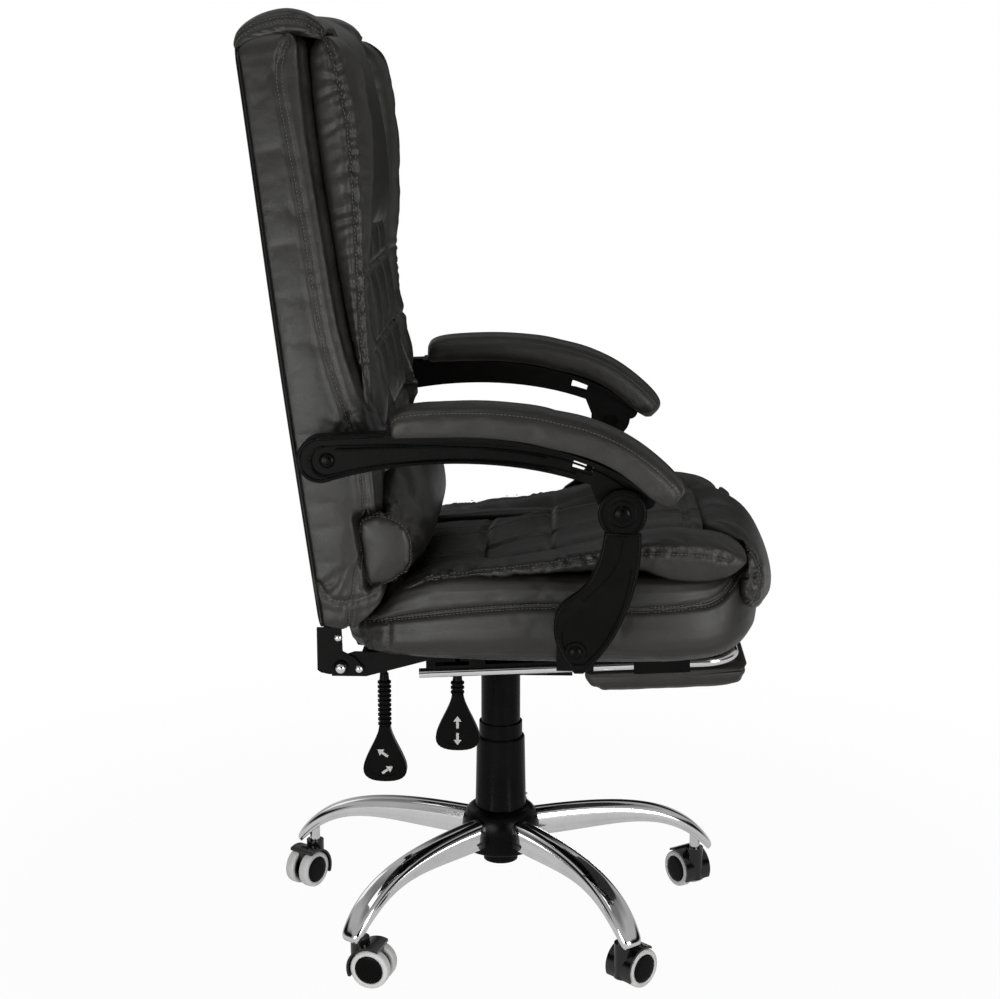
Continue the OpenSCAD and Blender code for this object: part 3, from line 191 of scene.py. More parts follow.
# tread: light grey soft plastic, a little dusty
def treadPaint(name):
    paint = Paint(name)
    dust = paint.ramp(paint.noise(70.0, 5.0, 0.7), 0.4, 0.7)
    colour = paint.blend(dust, (0.86, 0.86, 0.85), (0.74, 0.74, 0.73))
    return paint.finish(colour, 0.42 + dust * 0.2, paint.bump(paint.noise(900.0, 2.0), 0.2, 0.0001))


# plywood: pale veneer with long figure along x
def plywoodPaint(name):
    paint = Paint(name)
    figure = paint.noise(1.0, 6.0, 0.65, paint.stretched((3.0, 60.0, 60.0)))
    colour = paint.blend(figure, (0.50, 0.34, 0.19), (0.68, 0.51, 0.31))
    return paint.finish(colour, 0.6 + figure * 0.2, paint.bump(figure, 0.3, 0.0003))


# lining cloth under the seat: a plain weave of crossing ribs in dull black
def liningPaint(name):
    paint = Paint(name)
    across, lengthwise = [paint.node("TexWave", {"bands_direction": way},
                                     {"Vector": paint.place, "Scale": 260.0, "Distortion": 0.6})
                          for way in "XY"]
    weave = across * lengthwise
    colour = paint.blend(weave, (0.012, 0.012, 0.012), (0.03, 0.03, 0.03))
    return paint.finish(colour, 0.85 + weave * 0.1, paint.bump(weave, 0.5, 0.0003))


# thread: tone on tone, with a fine twist
def threadPaint(name):
    paint = Paint(name)
    twist = paint.noise(1400.0, 2.0)
    colour = paint.blend(twist, (0.085, 0.081, 0.076), (0.16, 0.154, 0.146))
    return paint.finish(colour, 0.55 + twist * 0.2, paint.bump(twist, 0.4, 0.0001))


# printed mark: off-white ink, thinner in places
def inkPaint(name):
    paint = Paint(name)
    thin = paint.ramp(paint.noise(240.0, 3.0), 0.4, 0.7)
    colour = paint.blend(thin, (0.62, 0.62, 0.60), (0.50, 0.50, 0.48))
    return paint.finish(colour, 0.5 + thin * 0.15, paint.bump(thin, 0.1, 0.0001))


leather = leatherPaint("charcoalLeather", leatherLook)
backing = leatherPaint("blackLeather", backingLook)
chrome = chromePaint("polishedChrome")
steel = steelPaint("brushedSteel")
grainedPlastic, smoothPlastic, glossPlastic, blackSteel = [
    blackPaint(name, **look) for name, look in blackLooks.items()]
tread = treadPaint("greyTread")
plywood = plywoodPaint("plywood")
lining = liningPaint("liningCloth")
thread = threadPaint("thread")
markInk = inkPaint("markInk")
nodesByPaint = [
    (chrome, "base_frame stem_sockets piston_rod lift_button strut_rod footrest_tube"),
    (steel, "lift_cylinder seat_bolts"),
    (blackSteel, "column_tube lift_lever_rod recline_lever_rod mechanism hinge_brackets arm_brackets "
                 "strut_cylinder back_brackets"),
    (smoothPlastic, "pivot_bolts hub_cover cover_lower cover_middle cover_upper lift_lever_sleeve "
                    "lift_lever_paddle recline_lever_sleeve recline_lever_paddle footrest_guides "
                    "footrest_clips arm_bosses arm_bolts_left arm_bolts_right"),
    (grainedPlastic, "arm_frame_left arm_frame_right support_left support_right"),
    (glossPlastic, " ".join("caster_housing_%d" % k for k in range(1, 6))),
    (tread, " ".join("caster_wheels_%d" % k for k in range(1, 6))),
    (lining, "seat_board"),
    (plywood, "footrest_board back_board")]
nodePaints = {name: paint for paint, names in nodesByPaint for name in names.split()}
for name, node in nodes.items():
    paint = nodePaints.get(name, leather)
    if not node.data.materials:
        node.data.materials.append(paint)
    for i in range(len(node.data.materials)):
        node.data.materials[i] = paint
print("materials are on the frame's nodes")


# point between b and c on the cubic that takes its slopes from the neighbours a and d (Catmull-Rom)
def between(a, b, c, d, f):
    return 0.5*(2*b + (c - a)*f + (2*a - 5*b + 4*c - d)*f**2 + (3*b - a - 3*c + d)*f**3)


# a smooth line through points
def smoothLine(points, count):
    p = np.asarray(points, float)
    last = len(p) - 1
    t = np.linspace(0, last, count)
    i = np.minimum(t.astype(int), last - 1)
    return between(*[p[np.clip(i + k, 0, last)] for k in (-1, 0, 1, 2)], (t - i)[:, None])


# value at x on a smooth line through (x, value) pairs
def along(pairs, x):
    line = smoothLine(pairs, 40*len(pairs))
    order = np.argsort(line[:, 0])
    return np.interp(x, line[order, 0], line[order, 1])


# 0 below zero, 1 above one, and a smooth step between
def ease(t):
    t = np.clip(t, 0, 1)
    return t*t*(3 - 2*t)


# 1 until a point is past a line, then down a quarter circle of the radius to the least share
def rounded(past, reach, radius, least=0.02):
    return np.sqrt(np.clip(1 - (np.clip(past, 0, reach)/radius)**2, least, 1))


# values drawn in towards a middle; a share of 1 leaves them as they are
def drawnIn(values, middle, share):
    return middle + (values - middle)*share


# places across a width, closer together towards both ends: a sine, cut at a share of its quarter
def acrossWidth(half, count, share):
    return half*np.sin(np.linspace(-1, 1, count)*math.pi/2*share)/math.sin(math.pi/2*share)


# the same smooth closed line for every row at once: controls is rows x corners x 3
def sections(controls, counts):
    out = []
    for k in range(controls.shape[1]):
        f = (np.arange(counts[k])/counts[k])[None, :, None]
        out.append(between(*[controls[:, (k + j) % controls.shape[1]][:, None] for j in (-1, 0, 1, 2)], f))
    return np.concatenate(out, axis=1)


# one half of a section and its mirror image, with the counts of the stretches mirrored too
def mirrored(corners, counts, flip):
    other = [tuple(-v if k == flip else v for k, v in enumerate(c)) for c in corners[-2:0:-1]]
    return corners + other, counts + counts[::-1]


# vectors of length 1
def unit(v):
    return v/np.maximum(np.linalg.norm(v, axis=-1, keepdims=True), 1e-9)


# length of a line up to each of its points
def travelled(line):
    return np.concatenate([[0], np.cumsum(np.linalg.norm(np.diff(line, axis=0), axis=1))])


# outward normals of a grid whose columns close on themselves: cross product of its two slopes
def normalsOf(grid):
    n = unit(np.cross(np.gradient(grid, axis=0), np.roll(grid, -1, 1) - np.roll(grid, 1, 1)))
    return n if np.sum(n*(grid - grid.mean(axis=1, keepdims=True))) > 0 else -n


# mesh of a grid in mm whose columns close on themselves, with a fan of triangles on both ends
def gridMesh(name, grid, paint):
    rows, cols, _ = grid.shape
    i, j = np.meshgrid(np.arange(rows - 1), np.arange(cols), indexing="ij")
    j2 = (j + 1) % cols
    quads = np.stack([i*cols + j, i*cols + j2, (i + 1)*cols + j2, (i + 1)*cols + j], -1).reshape(-1, 4)
    points = np.concatenate([grid.reshape(-1, 3), [grid[0].mean(0), grid[-1].mean(0)]])
    k, last = np.arange(cols), (rows - 1)*cols
    faces = quads.tolist()
    faces += np.stack([np.full(cols, rows*cols), (k + 1) % cols, k], -1).tolist()
    faces += np.stack([np.full(cols, rows*cols + 1), last + k, last + (k + 1) % cols], -1).tolist()
    a, b, c = [points[[f[m] for f in faces]] for m in (0, 1, 2)]
    if np.sum(a*np.cross(b, c)) < 0:
        faces = [f[::-1] for f in faces]
    return makeMesh(name, points, faces, paint)


# object at the origin from points in mm
def makeMesh(name, points, faces, paint, smooth=True):
    mesh = bpy.data.meshes.new(name)
    mesh.from_pydata((np.asarray(points)*mm).tolist(), [], faces)
    mesh.materials.append(paint)
    mesh.polygons.foreach_set("use_smooth", [smooth]*len(mesh.polygons))
    mesh.update()
    made = bpy.data.objects.new(name, mesh)
    bpy.context.scene.collection.objects.link(made)
    return made


puffSettings = {"pressure": 4.0, "spare": 0.016, "frames": 20, "rounds": 4, "wrinkle": 0.3}
clothSettings = {"quality": 6, "mass": 0.2, "tension_stiffness": 18, "compression_stiffness": 12,
                 "shear_stiffness": 6, "bending_stiffness": 0.35, "use_pressure": True}


# moves evened out with their neighbours (1 2 1 over 4, both ways), still nothing at the pins
def evenOut(move, free, rounds):
    for _ in range(rounds):
        move = (2*move + np.roll(move, 1, 1) + np.roll(move, -1, 1))/4
        p = np.concatenate([move[:1], move, move[-1:]])
        move = (2*move + p[:-2] + p[2:])/4*free
    return move


# a grid blown up as cloth: every second row and column is simulated with pinned seams and spare
# cloth, no point moves further than the cap, and the moves are carried back by cubic halves
def puff(grid, pinned, pressure, cap):
    high, wide = grid.shape[:2]
    if high % 2 == 0:
        grid, pinned = np.concatenate([grid, grid[-1:]]), np.concatenate([pinned, pinned[-1:]])
    if wide % 2:
        grid = np.concatenate([grid, (grid[:, -1:] + grid[:, :1])/2], axis=1)
        pinned = np.concatenate([pinned, pinned[:, -1:] | pinned[:, :1]], axis=1)
    coarse = grid[::2, ::2]
    pins = pinned[::2, ::2]
    blown = gridMesh("puff", coarse, leather)
    group = blown.vertex_groups.new(name="pins")
    still = np.append(np.flatnonzero(pins.ravel()), [coarse.shape[0]*coarse.shape[1] + k for k in (0, 1)])
    group.add(still.tolist(), 1.0, "REPLACE")
    cloth = blown.modifiers.new("puff", "CLOTH")
    for key, value in clothSettings.items():
        setattr(cloth.settings, key, value)
    cloth.settings.shrink_min = -puffSettings["spare"]*pressure
    cloth.settings.uniform_pressure_force = puffSettings["pressure"]*pressure
    cloth.settings.vertex_group_mass = "pins"
    cloth.settings.effector_weights.gravity = 0
    cloth.collision_settings.use_collision = False
    scene = bpy.context.scene
    for step in range(1, puffSettings["frames"] + 1):
        scene.frame_set(step)
    result = blown.evaluated_get(bpy.context.evaluated_depsgraph_get()).to_mesh()
    co = np.zeros(len(result.vertices)*3)
    result.vertices.foreach_get("co", co)
    bpy.data.objects.remove(blown)
    scene.frame_set(1)
    move = co.reshape(-1, 3)[:coarse.shape[0]*coarse.shape[1]].reshape(coarse.shape)/mm - coarse
    length = np.maximum(np.linalg.norm(move, axis=2, keepdims=True), 1e-6)
    move *= cap*np.tanh(length/cap)/length
    calm = evenOut(move, 1.0 - pins[..., None], puffSettings["rounds"])
    move = calm + puffSettings["wrinkle"]*(move - calm)
    rows = np.empty((grid.shape[0], move.shape[1], 3))
    p = np.concatenate([move[:1], move, move[-1:]])
    rows[::2] = move
    rows[1::2] = (9*(p[1:-2] + p[2:-1]) - (p[:-3] + p[3:]))/16
    fine = np.empty(grid.shape)
    fine[:, ::2] = rows
    fine[:, 1::2] = (9*(rows + np.roll(rows, -1, 1)) - (np.roll(rows, 1, 1) + np.roll(rows, -2, 1)))/16
    print("puffed", grid.shape, "mean move", round(float(np.mean(length)), 1), "mm")
    return (grid + fine)[:high, :wide]


# evenly spaced points along a line
def evenly(line, pitch):
    s = travelled(line)
    at = np.linspace(0, s[-1], max(2, int(s[-1]/pitch) + 1))
    return np.stack([np.interp(at, s, line[:, k]) for k in range(3)], 1)


# line drawn in the side view and laid on the surface: y comes from the nearest surface point that
# faces that side
def layOn(grid, normals, points, side, count=120):
    line = smoothLine(points, count)
    p, n = grid.reshape(-1, 3), normals.reshape(-1, 3)
    facing = p[n[:, 1]*side > 0.15]
    d = (facing[None, :, 0] - line[:, None, 0])**2 + (facing[None, :, 2] - line[:, None, 1])**2
    y = facing[np.argmin(d, axis=1), 1]
    y = np.convolve(np.pad(y, 3, "edge"), np.ones(7)/7, "valid")
    return evenly(np.stack([line[:, 0], y, line[:, 1]], 1), seamSettings["pitch"])


# distance of every point to a line, how far along it and on which side of it the point lies
def nearLine(points, normals, line, reach):
    tangent = unit(np.gradient(line, axis=0))
    s = travelled(line)
    low, high = line.min(0) - reach, line.max(0) + reach
    close = np.flatnonzero(np.all((points > low) & (points < high), axis=1))
    away = np.full(len(points), 1e3)
    where, side = np.zeros(len(points)), np.zeros(len(points))
    for part in np.array_split(close, max(1, len(close)//4000)):
        if not len(part):
            continue
        gap = points[part][:, None] - line[None]
        d = np.linalg.norm(gap, axis=2)
        k = np.argmin(d, axis=1)
        away[part] = d[np.arange(len(part)), k]
        offset = gap[np.arange(len(part)), k]
        where[part] = s[k] + np.sum(offset*tangent[k], axis=1)
        side[part] = np.sign(np.sum(np.cross(tangent[k], normals[part])*offset, axis=1))
    return away, where, side, s[-1]


seamSettings = {"depth": 2.2, "width": 3.2, "lip": 1.1, "lipAt": 8.0, "lipWidth": 5.0, "pitch": 3.0}


# a sewn seam pulled into the surface: a narrow valley with a soft ridge on both sides, and tucks,
# each a crease that fades out with the distance from the seam; heel is its share at the seam itself
def sew(grid, normals, line, depth=1.0, width=None, tucks=0, tuckLength=30.0, tuckDepth=2.0, seed=1,
        only=0, lip=1.0, heel=0.6):
    p, n = grid.reshape(-1, 3), normals.reshape(-1, 3)
    away, where, side, total = nearLine(p, n, line, tuckLength*2.5 + 12)
    wide = width or seamSettings["width"]
    move = -seamSettings["depth"]*depth*np.exp(-(away/wide)**2)
    move += lip*seamSettings["lip"]*np.exp(-((away - seamSettings["lipAt"])/seamSettings["lipWidth"])**2)
    draw = np.random.default_rng(seed)
    for k in range(tucks):
        at = total*(k + draw.uniform(0.1, 0.9))/tucks
        lean = draw.uniform(-0.5, 0.5)
        reach = tuckLength*draw.uniform(0.45, 1.5)
        deep = tuckDepth*draw.uniform(0.4, 1.3)
        half = draw.uniform(2.6, 5.2)*(1 + away/60)
        which = draw.choice([-1, 1]) if only == 0 else only
        fade = (heel + (1 - heel)*ease(away/11))*np.exp(-(away/reach)**1.6)
        fade *= np.where(side*which >= 0, 1.0, np.exp(-away/4))
        off = (where - at - lean*away)/half
        move += deep*fade*(0.55*np.exp(-(np.abs(off) - 1.8)**2) - np.exp(-off**2))
    return grid + (n*move[:, None]).reshape(grid.shape)


# puckers where two seams cross: a dimple with creases fanning out, as cos(n times the angle)
def pucker(grid, normals, centres, reach=13.0, depth=2.0, folds=5, seed=3):
    p, n = grid.reshape(-1, 3), normals.reshape(-1, 3)
    move = np.zeros(len(p))
    draw = np.random.default_rng(seed)
    for centre in centres:
        gap = p - centre
        away = np.linalg.norm(gap, axis=1)
        near = away < reach*3.5
        axis = n[np.argmin(away)]
        first = unit(np.cross(axis, [0.31, 0.52, 0.8]))
        angle = np.arctan2(gap[near] @ np.cross(axis, first), gap[near] @ first)
        spread = reach*draw.uniform(0.8, 1.3)
        crease = np.maximum(np.cos(folds*angle + draw.uniform(0, 6)), 0)**3
        move[near] -= depth*(0.6*np.exp(-(away[near]/(spread*0.6))**2)
                             + 0.6*crease*np.exp(-(away[near]/spread)**1.4))
    return grid + (n*move[:, None]).reshape(grid.shape)


stitchSettings = {"pitch": 4.6, "length": 3.4, "thick": 0.95, "apart": 3.3}


# stitches along a line: short threads with pointed ends, laid on the surface beside the seam
def stitchRow(grid, normals, line, offset):
    spots = evenly(line, stitchSettings["pitch"])
    if len(spots) < 3:
        return np.zeros((0, 3)), []
    p, n = grid.reshape(-1, 3), normals.reshape(-1, 3)
    low, high = spots.min(0) - 15, spots.max(0) + 15
    close = np.all((p > low) & (p < high), axis=1)
    p, n = p[close], n[close]
    tangent = unit(np.gradient(spots, axis=0))

    def surfaceUnder(q):
        k = np.concatenate([np.argmin(((part[:, None] - p[None])**2).sum(2), axis=1)
                            for part in np.array_split(q, max(1, len(q)//60))])
        return p[k], n[k]

    _, up = surfaceUnder(spots)
    beside = unit(np.cross(tangent, up))
    spots = spots + beside*offset
    on, up = surfaceUnder(spots)
    spots = spots - up*np.sum((spots - on)*up, axis=1, keepdims=True)
    long, thick = stitchSettings["length"]/2, stitchSettings["thick"]/2
    stations = np.array([[-1.0, 0.25], [-0.55, 1.0], [0.55, 1.0], [1.0, 0.25]])
    angle = np.arange(5)*2*math.pi/5
    ring = np.stack([np.cos(angle), np.sin(angle)], 1)
    body = (tangent[:, None, None]*stations[None, :, None, :1]*long
            + beside[:, None, None]*(ring[None, None, :, :1]*stations[None, :, None, 1:]*thick)
            + up[:, None, None]*(ring[None, None, :, 1:]*stations[None, :, None, 1:]*thick + 0.25))
    points = (spots[:, None, None] + body).reshape(-1, 3)
    one = [[a*5 + b, a*5 + (b + 1) % 5, (a + 1)*5 + (b + 1) % 5, (a + 1)*5 + b]
           for a in range(3) for b in range(5)]
    one += [[4, 3, 2, 1, 0], [15, 16, 17, 18, 19]]
    faces = [[v + 20*k for v in f] for k in range(len(spots)) for f in one]
    return points, faces


# one object for all stitches of a piece; rows is a list of (line, offsets)
def stitches(name, grid, normals, rows, body):
    points, faces = np.zeros((0, 3)), []
    for line, offsets in rows:
        for offset in offsets:
            more, moreFaces = stitchRow(grid, normals, line, offset)
            faces += [[v + len(points) for v in f] for f in moreFaces]
            points = np.concatenate([points, more])
    made = makeMesh(name, points, faces, thread)
    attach(made, body)


double = (stitchSettings["apart"], -stitchSettings["apart"])
single = (0.0,)


# a finished cushion: it rides on a body, and the CAD nodes it stands for are hidden
def upholster(piece, body, replaced):
    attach(piece, body)
    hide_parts(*replaced)


# one padded piece: blown up, sewn along its seams, meshed, stitched, put on its body and the CAD nodes it
# stands for hidden; a seam is a row or column of the grid, or a line drawn in a view and laid on the surface
def cushion(name, grid, pinned, seams, body, replaced, pressure, cap, crossings=None,
            paint=leather):
    grid = puff(grid, pinned, pressure, cap)
    if crossings:
        grid = pucker(grid, normalsOf(grid), [grid[i, j] for i, j in crossings])
    rows = []
    for seam in seams:
        normals = normalsOf(grid)
        if "column" in seam:
            line = grid[seam.get("first", 0):seam.get("last", len(grid)), seam["column"]]
        elif "row" in seam:
            line = np.roll(grid[seam["row"]], -seam.get("turn", 0), 0)[:seam.get("count", grid.shape[1])]
        else:
            line = layOn(grid, normals, seam["line"], seam["side"])
        line = evenly(line, seamSettings["pitch"])
        shape = {k: seam[k] for k in ("depth", "width", "tucks", "tuckLength", "tuckDepth", "seed", "only",
                                      "lip", "heel") if k in seam}
        grid = sew(grid, normals, line, **shape)
        if seam.get("stitches", double):
            rows.append((line, seam.get("stitches", double)))
    upholster(gridMesh(name, grid, paint), body, replaced)
    stitches(name + "Stitches", grid, normalsOf(grid), rows, body)
    print(name, "sewn")


# which points of a grid hold still: rows at its start and end, columns at its first and last side
def held(grid, start, end, first, last):
    pinned = np.zeros(grid.shape[:2], bool)
    pinned[:start] = pinned[-end:] = True
    pinned[:, :first] = pinned[:, -last:] = True
    return pinned


# a piece drawn on the left, put on its side: the one on the left has its columns in the other order,
# so that both are right side out, and its seam columns are counted from the other end
def sided(side, grid, pinned, columns):
    grid[..., 1] *= side
    if side > 0:
        grid, pinned = grid[:, ::-1], pinned[:, ::-1]
        columns = [grid.shape[1] - 1 - c for c in columns]
    return grid, pinned, columns


backPlace = {"foot": (-210.0, 462.0), "lean": 7.5}


# point of the back given as (forward, sideways, up the slope) to the row frame
def leaned(p):
    a = math.radians(backPlace["lean"])
    x = backPlace["foot"][0] + p[..., 0]*math.cos(a) - p[..., 2]*math.sin(a)
    z = backPlace["foot"][1] + p[..., 0]*math.sin(a) + p[..., 2]*math.cos(a)
    return np.stack([x, p[..., 1], z], -1)


# a line in the back's own side view to the row's side view
def leanedLine(pairs):
    p = leaned(np.array([(d, 0.0, h) for d, h in pairs]))
    return [(x, z) for x, _, z in p.tolist()]


backSizes = {"height": 690.0, "half": 250.0, "topHalf": 215.0,
             "sideSeam": [(0, 38), (71, 58.8), (128, 74.4), (169, 80.7), (234, 78.2), (344, 61), (463, 57),
                          (563, 53), (637, 49.5), (668, 54), (684, 62), (693, 74)],
             "fold": [(0, 88), (60, 90), (190, 100), (228, 108), (340, 88), (460, 82), (584, 80),
                      (676, 84), (700, 86)],
             "pocket": {"low": 28, "high": 144, "front": 60, "inside": 200, "deep": 26},
             "foot": ([0, 18, 43, 77, 92], [14, 2, -2, 24, 48]), "footFades": 130,
             "topMiddle": 44, "footMiddle": 47}


# half width of the back at a height: full low down, narrower towards the top
def backHalf(h):
    narrowing = ease((h/backSizes["height"] - 0.35)/0.75)
    return backSizes["half"] + (backSizes["topHalf"] - backSizes["half"])*narrowing


# rows of closed sections given as lists of (first, second) controls and the third value of each row
def loft(corners, third, order, counts):
    controls = np.stack([np.stack([np.broadcast_to(v, third.shape) for v in (*corner, third)], 1)
                         for corner in corners], 1)
    return sections(controls, counts)[..., order]


# main body of the back: at each height a closed section from the rear face round a bulging side
# panel, in at the seam, out again and into the deep fold behind the wing
def backBody():
    u = np.concatenate([np.linspace(0, 672, 226)[:-1], np.linspace(672, 698.5, 20)])
    half = backHalf(u)
    seam, fold = along(backSizes["sideSeam"], u), along(backSizes["fold"], u)
    right = [(8.5, 0), (8.5, half - 120), (8.3, half - 12), (4.2, half - 2.2), (13, half + 1.8),
             (seam*0.55 + 5, half + 3), (seam - 8, half + 2), (seam + 1, half - 1),
             (seam*0.5 + fold*0.5 + 2, half - 0.5), (fold - 8, half - 7), (fold - 1, half - 18),
             (fold - 2, half - 42), (fold - 4, half - 110), (fold - 4, 0)]
    corners, counts = mirrored(right, [4, 4, 6, 6, 10, 12, 6, 6, 10, 6, 8, 4, 4], 1)
    grid = loft(corners, u, (0, 1, 2), counts)
    d, y, h = grid[..., 0], grid[..., 1], grid[..., 2]
    pocket = backSizes["pocket"]
    deep = ease((h - pocket["low"])/16)*ease((pocket["high"] - h)/16)*ease((d - pocket["front"])/10)
    deep = deep*pocket["deep"]
    y -= np.sign(y)*deep*ease((np.abs(y) - pocket["inside"])/20)
    top = rounded(h - 674, 24.2, 24.5)
    grid[..., 0] = drawnIn(d, backSizes["topMiddle"], top)
    grid[..., 1] = y*(0.93 + 0.07*top)
    lift = np.interp(d, *backSizes["foot"])
    grid[..., 2] = h + lift*np.clip(1 - h/backSizes["footFades"], 0, 1)**2
    foot = rounded(16 - h, 16, 16.5, 0.05)
    grid[..., 0] = drawnIn(grid[..., 0], backSizes["footMiddle"], 0.8 + 0.2*foot)
    grid[..., 1] *= 0.95 + 0.05*foot
    return leaned(grid)


# the body as a cushion: a double seam down each side, and slack folds at its foot
def makeBack():
    grid = backBody()
    pinned = held(grid, 6, 22, 20, 18)
    pinned[:, [46, 47, 48, 114, 115, 116]] = True
    pinned[:, 66:94] = True
    seams = []
    for side in (-1, 1):
        line = [(d, h) for h, d in backSizes["sideSeam"]]
        seams.append({"line": leanedLine(line), "side": side, "depth": 0.55, "width": 5.0, "tucks": 46,
                      "tuckLength": 6, "tuckDepth": 0.5, "seed": 11 + side, "heel": 1.0})
        seams.append({"line": leanedLine([(10, 60), (22, 40), (48, 34), (76, 40)]), "side": side,
                      "depth": 0.7, "tucks": 6, "tuckLength": 34, "tuckDepth": 2.2, "seed": 21 + side,
                      "stitches": single})
        seams.append({"line": leanedLine([(62, 238), (72, 250), (86, 256)]), "side": side, "depth": 0.2,
                      "tucks": 5, "tuckLength": 40, "tuckDepth": 2.4, "seed": 31 + side, "stitches": ()})
    cushion("backSides", grid, pinned, seams, "back", ["back_cushion"], pressure=0.5, cap=5.0)


# rear shell: a thin padded panel with a rounded rim, crowned a little to the rear
def makeShell():
    u = np.linspace(3, 690, 200)
    half = backHalf(u) + 0.5
    end = rounded(np.abs(u - 346) - 322, 22, 23)
    half = half*(0.92 + 0.08*end)
    crown = 3.4*end
    right = [(7.7, 0), (7.7, half - 14), (5.6, half - 5), (4.0, half - 2.6), (2.4, half - 3.2),
             (1.4, half - 9), (0.4 - crown*0.3, half - 26), (0.4 - crown*0.9, half - 90), (0.3 - crown, 0)]
    corners, counts = mirrored(right, [30, 3, 2, 2, 3, 6, 16, 30], 1)
    grid = leaned(loft(corners, u, (0, 1, 2), counts))
    pinned = np.ones(grid.shape[:2], bool)
    pinned[14:-14, 62:118] = False
    seams = [{"column": c, "first": 8, "last": 192, "depth": 0.5, "tucks": 10, "tuckLength": 12,
              "tuckDepth": 0.4, "seed": 41 + c, "stitches": single} for c in (52, 128)]
    cushion("rearShell", grid, pinned, seams, "back", ["back_panel"], pressure=0.3, cap=3.0,
            paint=backing)


wingSizes = {"inner": 141.0, "middle": 176.0, "low": 192.0, "high": 687.0,
             "seam": [(180, 86), (228, 92), (300, 100), (404, 108), (504, 116), (578, 120), (653, 115),
                      (692, 108)],
             "front": [(180, 92), (196, 96), (253, 114), (296, 113), (356, 110), (404, 113), (449, 122),
                       (496, 132), (540, 139), (590, 143), (624, 142), (655, 137), (692, 128)],
             "rows": (228.0, 319.0, 410.0)}


# side wing of the back: closed sections from its flat back round the outside over a ruched seam to
# the full front and in beside the centre
def makeWing(side):
    u = np.linspace(wingSizes["low"], wingSizes["high"], 176)
    half = backHalf(u)
    inner = wingSizes["inner"]
    seam, front = along(wingSizes["seam"], u), along(wingSizes["front"], u)
    fold = along(backSizes["fold"], u) + 0.5
    corners = [(fold - 1, inner + 20), (fold, half - 44), (fold + 1, half - 20),
               (fold*0.45 + seam*0.55, half - 9), (seam - 4, half - 11), (seam + 4, half - 17),
               (front - 9, half - 28), (front, half - 46), (front - 2, inner + 30), (front - 12, inner + 11),
               (front - 30, inner + 1), (fold + 12, inner), (fold + 2, inner + 5)]
    counts = [4, 4, 6, 8, 6, 8, 8, 8, 8, 6, 6, 4, 4]
    grid = loft(corners, u, (0, 1, 2), counts)
    end = rounded(u - 659, 28, 28.4)
    start = rounded(230 - u, 40, 42, 0.1)
    middle = (fold + np.interp(u, [230, 640], [6, 18]))[:, None]
    keep = (end*start)[:, None]
    grid[..., 0] = drawnIn(grid[..., 0], middle, keep)
    grid[..., 1] = drawnIn(grid[..., 1], wingSizes["middle"], 0.62 + 0.38*keep)
    seamColumn = sum(counts[:4]) + 3
    pinned = held(grid, 4, 4, 12, 8)
    pinned[:, seamColumn - 1:seamColumn + 2] = True
    rowIndex = [int(np.argmin(np.abs(u - h))) for h in wingSizes["rows"]]
    for k in rowIndex:
        pinned[k - 1:k + 2, 34:] = True
    grid, pinned, (seamColumn,) = sided(side, grid, pinned, [seamColumn])
    seams = [{"column": seamColumn, "first": 3, "last": 173, "depth": 0.9, "width": 4.5, "tucks": 46,
              "tuckLength": 19, "tuckDepth": 2.3, "seed": 51 + side, "heel": 0.9}]
    turn = 34 if side < 0 else 0
    for k in rowIndex:
        seams.append({"row": k, "turn": turn, "count": 42, "depth": 1.3, "width": 2.4, "tucks": 6,
                      "tuckLength": 18, "tuckDepth": 1.0, "seed": 61 + k, "stitches": single})
    name = "wingRight" if side < 0 else "wingLeft"
    cushion(name, leaned(grid), pinned, seams, "back", ["back_wings"], pressure=1.0, cap=10.0)


capSizes = {"half": 210.0, "pillowHalf": 137.0, "pillowEdge": 22.0, "middle": 52.0}


# head pillow: sections across the width; near the middle a long pillow down the front, further
# out only the cap that laps over the top, both ends rounded
def makeHeadPillow():
    y = acrossWidth(capSizes["half"], 161, 0.94)
    inner = 1 - ease((np.abs(y) - capSizes["pillowHalf"] + capSizes["pillowEdge"])/capSizes["pillowEdge"])
    outerLine = [(3, 684), (0, 694), (8, 708), (31, 719), (60, 723), (82, 718), (97, 708), (105, 698),
                 (108, 692), (108, 690), (106, 688), (103, 687), (99, 687.5), (95, 688.5), (91, 690),
                 (85, 694), (62, 702), (34, 702), (13, 694)]
    innerLine = [(5, 686), (2, 697), (9, 710), (31, 720), (61, 723), (85, 715), (102, 694), (113, 655),
                 (120, 610), (122, 560), (119, 505), (110, 466), (99, 450), (89, 452), (87, 560), (86, 688),
                 (60, 696), (32, 696), (13, 692)]
    corners = [(a[0] + (b[0] - a[0])*inner, a[1] + (b[1] - a[1])*inner) for a, b in zip(outerLine, innerLine)]
    counts = [5, 6, 9, 10, 9, 9, 13, 16, 16, 18, 14, 8, 5, 8, 16, 6, 8, 6, 5]
    grid = loft(corners, y, (0, 2, 1), counts)
    rounding = rounded(np.abs(y) - 180, 30, 30.4)[:, None]
    arch = 680 + 16*np.sqrt(np.clip(1 - ((grid[..., 0] - capSizes["middle"])/56)**2, 0, 1))
    over = np.maximum(grid[..., 2] - arch, 0)*(grid[..., 0] < 108)
    grid[..., 2] -= over*0.95*(1 - rounding)
    grid[..., 0] = drawnIn(grid[..., 0], capSizes["middle"], 0.88 + 0.12*rounding)
    pinned = held(grid, 3, 3, 4, 34)
    seams = [{"row": row, "turn": 5, "count": 100, "depth": 0.7, "tucks": 9, "tuckLength": 14,
              "tuckDepth": 1.3, "seed": 71 + row, "heel": 0.5} for row in (7, 153)]
    cushion("headPillow", leaned(grid[::-1]), pinned[::-1], seams, "back", ["head_pillow"], pressure=0.7,
            cap=8.0)


